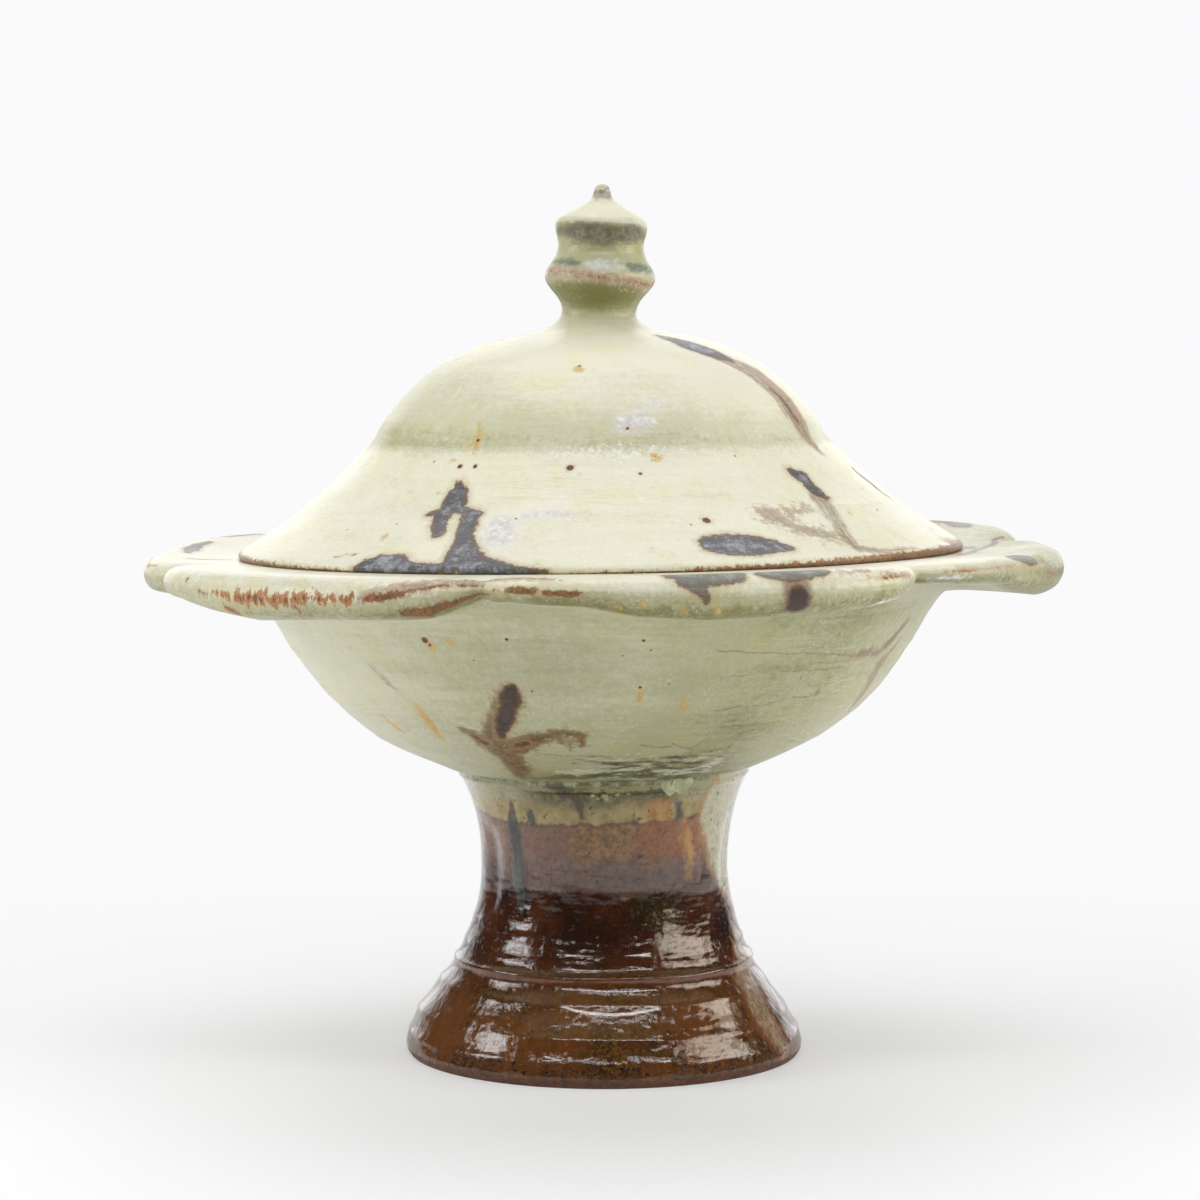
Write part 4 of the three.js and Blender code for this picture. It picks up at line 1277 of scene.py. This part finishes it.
class DISH_OT_rim(bpy.types.Operator):
    """Throw the flange, roll its edge and pinch it into petals"""

    bl_idname = "dish.form_rim"
    bl_label = "Form the petal rim"

    def execute(self, context):
        runs = [
            (RIM_TOP_AND_ROLL, 0.5), (RIM_UNDER, 1.2), (RIM_RUN, 0.6), (RIM_JOINT, HIDDEN),
            (RIM_MOUTH, 1),
        ]
        wall = Wall("glazed_rim", runs, RIM_BASE, steps=760)
        self.pinch(wall)
        reach, turn = wall.reach, wall.turn
        # The pool is partly thick ash and partly painted shade, darkest where the roll turns under.
        reaches = [0, 12, 25, 31, 35, 38.5, 41, 44, 48, 60, 72]
        amounts = [0.3, 0.3, 0.28, 0.2, 0.47, 0.86, 0.97, 0.94, 0.72, 0.66, 0.66]
        pool = np.interp(reach, reaches, amounts)
        # Painted shade on the rim's right, and painted light on the left of its roll.
        pool += 0.55 * flank(turn, 45, 75) * clamp(0.9 - pool) * eased(-reach, -56, -46)
        pool += 0.14 * flank(turn, 40, 70) * eased(reach, 22, 32) * eased(-reach, -40, -36)
        left = eased(-turn, 18, 30) * eased(turn, -88, -75)
        pool -= 0.12 * left * eased(reach, 33, 38) * eased(-reach, -50, -44)
        wall.note("pool", pool - painted_side_light(turn) * eased(reach, 46, 56))
        wall.note("coarse", np.interp(reach, [44, 60], [0.9, 0.45]))
        wall.brush(RIM_MARKS, by_reach=True)
        wall.finish("dish", "petal_rim", "pale_glaze")
        wall.glaze(ash_glaze("rim glaze", wall, RIM_IRON))
        return {"FINISHED"}

    def pinch(self, wall):
        """Draws the edge in at each pinch, and thins the roll there."""
        outer = eased(wall.radius, 84, 106)
        flange = eased(wall.radius, 84, 100)
        roll = eased(wall.radius, 92, 101)
        under = eased(wall.radius, 79, 90)
        level = wall.points[:, 2]
        top = RIM_BASE + ROLL_TOP
        middle = (top + RIM_BASE + ROLL_BOTTOM) / 2
        low = clamp((top - level) / (ROLL_TOP - ROLL_BOTTOM))
        level = level + low * under * np.interp(wall.turn, *zip(*ROLL_RISE))
        radius = wall.radius.copy()
        for turn, depth, opening, left, rise in PINCHES:
            notch = np.exp(-np.abs(between(wall.turn, turn)) / opening)
            radius = radius - depth * notch * outer
            level = middle + (level - middle) * (1 - (1 - left) * notch * roll)
            level = level + (rise + 1.5) * notch * roll
        level = level + flange * np.interp(wall.turn, *zip(*EDGE_LIFT))
        wall.set_radius(radius)
        wall.points[:, 2] = level


class DISH_OT_lid(bpy.types.Operator):
    """Throw the lid's skirt and dome"""

    bl_idname = "dish.throw_lid"
    bl_label = "Throw the lid"

    def execute(self, context):
        runs = [(LID_OUTSIDE, SHOWN), (LID_UNDER, 1.5), (LID_INSIDE, 1.8)]
        wall = Wall("glazed_lid", runs, LID_BASE, steps=460)
        height, turn = wall.height, wall.turn
        fade = eased(height, 116.5, 119) * eased(-height, -163, -160)
        wall.ridge(LID_RIDGES, seed=61, fade=fade)
        levels = [115, 122, 130, 137, 139.5, 141.2, 144, 148, 153, 158, 163, 167]
        amounts = [0.26, 0.3, 0.3, 0.3, 0.38, 0.66, 0.6, 0.48, 0.4, 0.34, 0.28, 0.3]
        # Painted shade on the dome's left, and painted light at its front and right.
        left = 0.08 * flank(-turn, 5, 45) + 0.1 * flank(-turn, 45, 80)
        sides = left - 0.03 - 0.08 * flank(turn, 10, 50)
        pool = np.interp(height, levels, amounts) + eased(height, 138, 143) * sides
        wall.note("pool", np.where(wall.faces_out, pool, 0.4))
        wall.note("coarse", np.interp(height, [115, 137, 146], [1.25, 1.15, 0.6]))
        skirt = eased(height, 117, 122) * eased(-height, -138, -134)
        wall.note("wrinkle", skirt * wall.faces_out - 0.6)
        spread = 0.45 * np.exp(-((turn - 2) / 16) ** 2) + 0.25
        frost = spread - np.abs(height - LID_BEND) * 0.2
        wall.note("frost", np.where(wall.faces_out, frost, -1))
        wall.brush(LID_MARKS)
        wall.finish("lid", "lid_dome", "pale_glaze")
        wall.glaze(ash_glaze("lid glaze", wall, LID_IRON, LID_SPECKS))
        return {"FINISHED"}


class DISH_OT_ring(bpy.types.Operator):
    """Turn the bare ring that keeps the lid in the mouth"""

    bl_idname = "dish.turn_ring"
    bl_label = "Turn the lid's ring"

    def execute(self, context):
        wall = Wall("lid_ring", [(LOCATING_RING, 0.7)], RING_BASE, steps=220)
        wall.finish("lid", "locating_ring", "bare_clay")
        wall.glaze(bare_clay("bare stoneware"))
        return {"FINISHED"}


class DISH_OT_knob(bpy.types.Operator):
    """Throw the knob"""

    bl_idname = "dish.throw_knob"
    bl_label = "Throw the knob"

    def execute(self, context):
        runs = [(KNOB_BEAD, 0.3), (KNOB_OUTSIDE, 0.3), (KNOB_UNDER, 1)]
        wall = Wall("glazed_knob", runs, KNOB_BASE, steps=300)
        height = wall.height - KNOB_BASE
        askew = height + wall.points[:, 0] * 0.05
        # The pool is partly thick ash and partly painted shade in the neck under the collar; the knob
        # is painted lighter towards its sides.
        levels = [0, 1, 2.5, 4.5, 7, 9.5, 11.3, 12.8, 15, 18, 21, 24, 25, 26, 29, 30.3, 31]
        amounts = [
            0.3, 0.4, 0.54, 0.8, 0.98, 1.04, 0.9, 0.7, 0.76, 0.86, 0.9, 0.9, 0.6, 0.4, 0.36, 0.5, 0.6,
        ]
        pool = np.interp(askew, levels, amounts)
        wall.note("pool", pool - 0.1 * eased(np.abs(wall.turn), 35, 80))
        wall.note("coarse", np.full(len(pool), 0.3))
        patchy = waver(wall.points, size=9, seed=21)
        sides = eased(np.abs(between(wall.turn, 6)), 25, 75)
        wall.note("smoke", wedge(askew, 20.3, 24.7) + patchy * 0.7 - sides * 2)
        wall.note("soot", np.minimum((height - 30.7) * 1.5, (33.1 - height) * 1.2) + patchy * 0.6)
        middle = 1 - eased(np.abs(between(wall.turn, 4)), 14, 32)
        wall.note("teal", wedge(askew, 14.5, 16.1) + patchy * 0.4 - middle * 2)
        bright = wedge(askew, 14, 16.4) + patchy * 0.3 - (1 - middle) * 2
        wall.note("pearl", np.maximum(bright, 0.1 - np.abs(askew - 25.4) * 1.6))
        collar = np.abs(askew + wall.points[:, 0] * 0.07 - 12.4)
        wall.note("blush", 1.3 - collar)
        wall.note("rust", patchy * 0.3 - collar * 0.8)
        self.tilt(wall)
        wall.finish("lid", "knob", "pale_glaze")
        wall.glaze(ash_glaze("knob glaze", wall))
        return {"FINISHED"}

    def tilt(self, wall):
        """Turns the knob about its foot, and eases the turn in up the neck."""
        above = wall.points[:, 2] - KNOB_BASE
        share = eased(above, 1, 6)
        angle = math.radians(KNOB_TILT) * share
        x = wall.points[:, 0].copy()
        wall.points[:, 0] = x * np.cos(angle) + above * np.sin(angle) + KNOB_SHIFT * share
        wall.points[:, 2] = KNOB_BASE + above * np.cos(angle) - x * np.sin(angle)


# The camera stands where the photographed view was taken from.
CAMERA_PLACE = (-0.92, -759, 157)
CAMERA_PITCH = 3.97
CAMERA_LENS = 99

# The white paper under the pot: how wide and deep it is, and how far it reaches to the front.
FLOOR_WIDTH = 9000
FLOOR_FRONT = 900
# The paper as it is lit, and the paper and the backdrop as they are seen behind the pot.
PAPER = (0.93, 0.935, 0.955, 1)
PAPER_BEHIND = (0.955, 0.955, 0.965, 1)
BACKDROP = (0.955, 0.955, 0.97, 1)
# The lamps: name, place, width and depth, which of the stage's powers it has, and what share.
LAMPS = [
    ("front strip", (40, -700, 850), (1250, 60), "key", 1),
    ("top panel", (0, 200, 1200), (1100, 1100), "top", 1),
    ("left window", (-900, -150, 520), (360, 300), "side", 0.6),
    ("right window", (880, -180, 500), (800, 320), "side", 1.1),
    ("left fill", (-950, -150, 260), (900, 500), "side", 0.75),
    ("right fill", (950, -150, 260), (900, 500), "side", 1.5),
]
# The fills only lift the shade, and the warm window only shines on the gloss.
FILLS = ("left fill", "right fill")
WARM_WINDOW = "right window"
WARM = (1, 0.91, 0.76)
# They all aim at the middle of the pot.
AIM_LEVEL = 100


class DISH_OT_stage(bpy.types.Operator):
    """Set the camera, the floor and the lights"""

    bl_idname = "dish.set_stage"
    bl_label = "Set the stage"

    def execute(self, context):
        scene = context.scene
        scene.view_settings.view_transform = "Standard"
        self.camera(scene)
        self.floor(scene)
        self.world(scene)
        stage = scene.dish_stage
        for name, place, size, power, share in LAMPS:
            lamp = self.light(name, place, size, getattr(stage, power) * share)
            lamp.visible_glossy = name not in FILLS
            if name == WARM_WINDOW:
                lamp.data.color = WARM
                lamp.visible_diffuse = False
        return {"FINISHED"}

    def camera(self, scene):
        data = bpy.data.cameras.new("camera")
        camera = bpy.data.objects.new("camera", data)
        scene.collection.objects.link(camera)
        camera.location = [value * MM for value in CAMERA_PLACE]
        camera.rotation_euler = (math.radians(90 - CAMERA_PITCH), 0, 0)
        data.sensor_width = 36
        data.lens = CAMERA_LENS
        scene.camera = camera

    def light(self, name, place, size, power):
        data = bpy.data.lights.new(name, "AREA")
        data.shape = "RECTANGLE"
        data.size, data.size_y = [value * MM for value in size]
        data.energy = power
        lamp = bpy.data.objects.new(name, data)
        bpy.context.scene.collection.objects.link(lamp)
        lamp.location = [value * MM for value in place]
        aim = Vector((0, 0, AIM_LEVEL * MM)) - lamp.location
        lamp.rotation_mode = "QUATERNION"
        lamp.rotation_quaternion = aim.to_track_quat("-Z", "Y")
        return lamp

    def floor(self, scene):
        bpy.ops.object.select_all(action="DESELECT")
        bpy.ops.mesh.primitive_plane_add(size=FLOOR_WIDTH * MM)
        floor = bpy.context.object
        bpy.ops.transform.translate(value=(0, (FLOOR_WIDTH / 2 - FLOOR_FRONT) * MM, 0))
        bpy.ops.object.transform_apply()
        floor.name = "floor"
        paper = Glaze(bpy.data.materials.new("floor"))
        seen = paper.node("LightPath", output="Is Camera Ray")
        behind = paper.node("SeparateXYZ", {}, {0: paper.place}, "Y")
        share = behind.step(-200, 300).most(behind.step(-450, -750))
        plain = paper.node("BsdfDiffuse", {}, {"Color": PAPER})
        bright = paper.node("Emission", {}, {"Color": PAPER_BEHIND, "Strength": 1})
        mixed = paper.node("MixShader", {}, {0: share * seen, 1: plain, 2: bright})
        floor.data.materials.append(paper.close(mixed))

    def world(self, scene):
        """A white backdrop behind the pot and a dimmer room in front, seen as plain white."""
        room = Glaze(bpy.data.worlds.new("room"))
        way = room.node("TexCoord", output="Generated")
        behind = room.node("SeparateXYZ", {}, {0: way}, "Y").step(0.66, 0.92)
        stage = scene.dish_stage
        level = behind * (stage.backdrop - stage.room) + stage.room
        seen = room.node("LightPath", output="Is Camera Ray")
        inputs = {"Color": BACKDROP, "Strength": seen + (1 - seen) * level}
        scene.world = room.close(room.node("Background", {}, inputs), "OutputWorld")


OPERATORS = [
    DISH_OT_stage, DISH_OT_foot, DISH_OT_bowl, DISH_OT_rim, DISH_OT_lid, DISH_OT_ring, DISH_OT_knob,
]


class DISH_PT_panel(bpy.types.Panel):
    """Lists the steps that make the dish"""

    bl_idname = "DISH_PT_panel"
    bl_label = "Bonbon dish"
    bl_space_type = "VIEW_3D"
    bl_region_type = "UI"
    bl_category = "Bonbon dish"

    def draw(self, context):
        for operator in OPERATORS:
            self.layout.operator(operator.bl_idname)
        for group in (context.scene.dish_shape, context.scene.dish_glaze, context.scene.dish_stage):
            for name in group.bl_rna.properties.keys():
                if name not in ("rna_type", "name"):
                    self.layout.prop(group, name)


GROUPS = {"dish_shape": DishShape, "dish_glaze": DishGlaze, "dish_stage": DishStage}


def register():
    for group in GROUPS.values():
        bpy.utils.register_class(group)
    for name, group in GROUPS.items():
        setattr(bpy.types.Scene, name, bpy.props.PointerProperty(type=group))
    for operator in OPERATORS:
        bpy.utils.register_class(operator)
    bpy.utils.register_class(DISH_PT_panel)


def unregister():
    bpy.utils.unregister_class(DISH_PT_panel)
    for operator in reversed(OPERATORS):
        bpy.utils.unregister_class(operator)
    for name, group in GROUPS.items():
        delattr(bpy.types.Scene, name)
        bpy.utils.unregister_class(group)


def main():
    """Makes the whole dish on its stage."""
    register()
    bpy.ops.dish.set_stage()
    bpy.ops.dish.throw_foot()
    bpy.ops.dish.throw_bowl()
    bpy.ops.dish.form_rim()
    bpy.ops.dish.throw_lid()
    bpy.ops.dish.turn_ring()
    bpy.ops.dish.throw_knob()


if __name__ == "__main__":
    main()
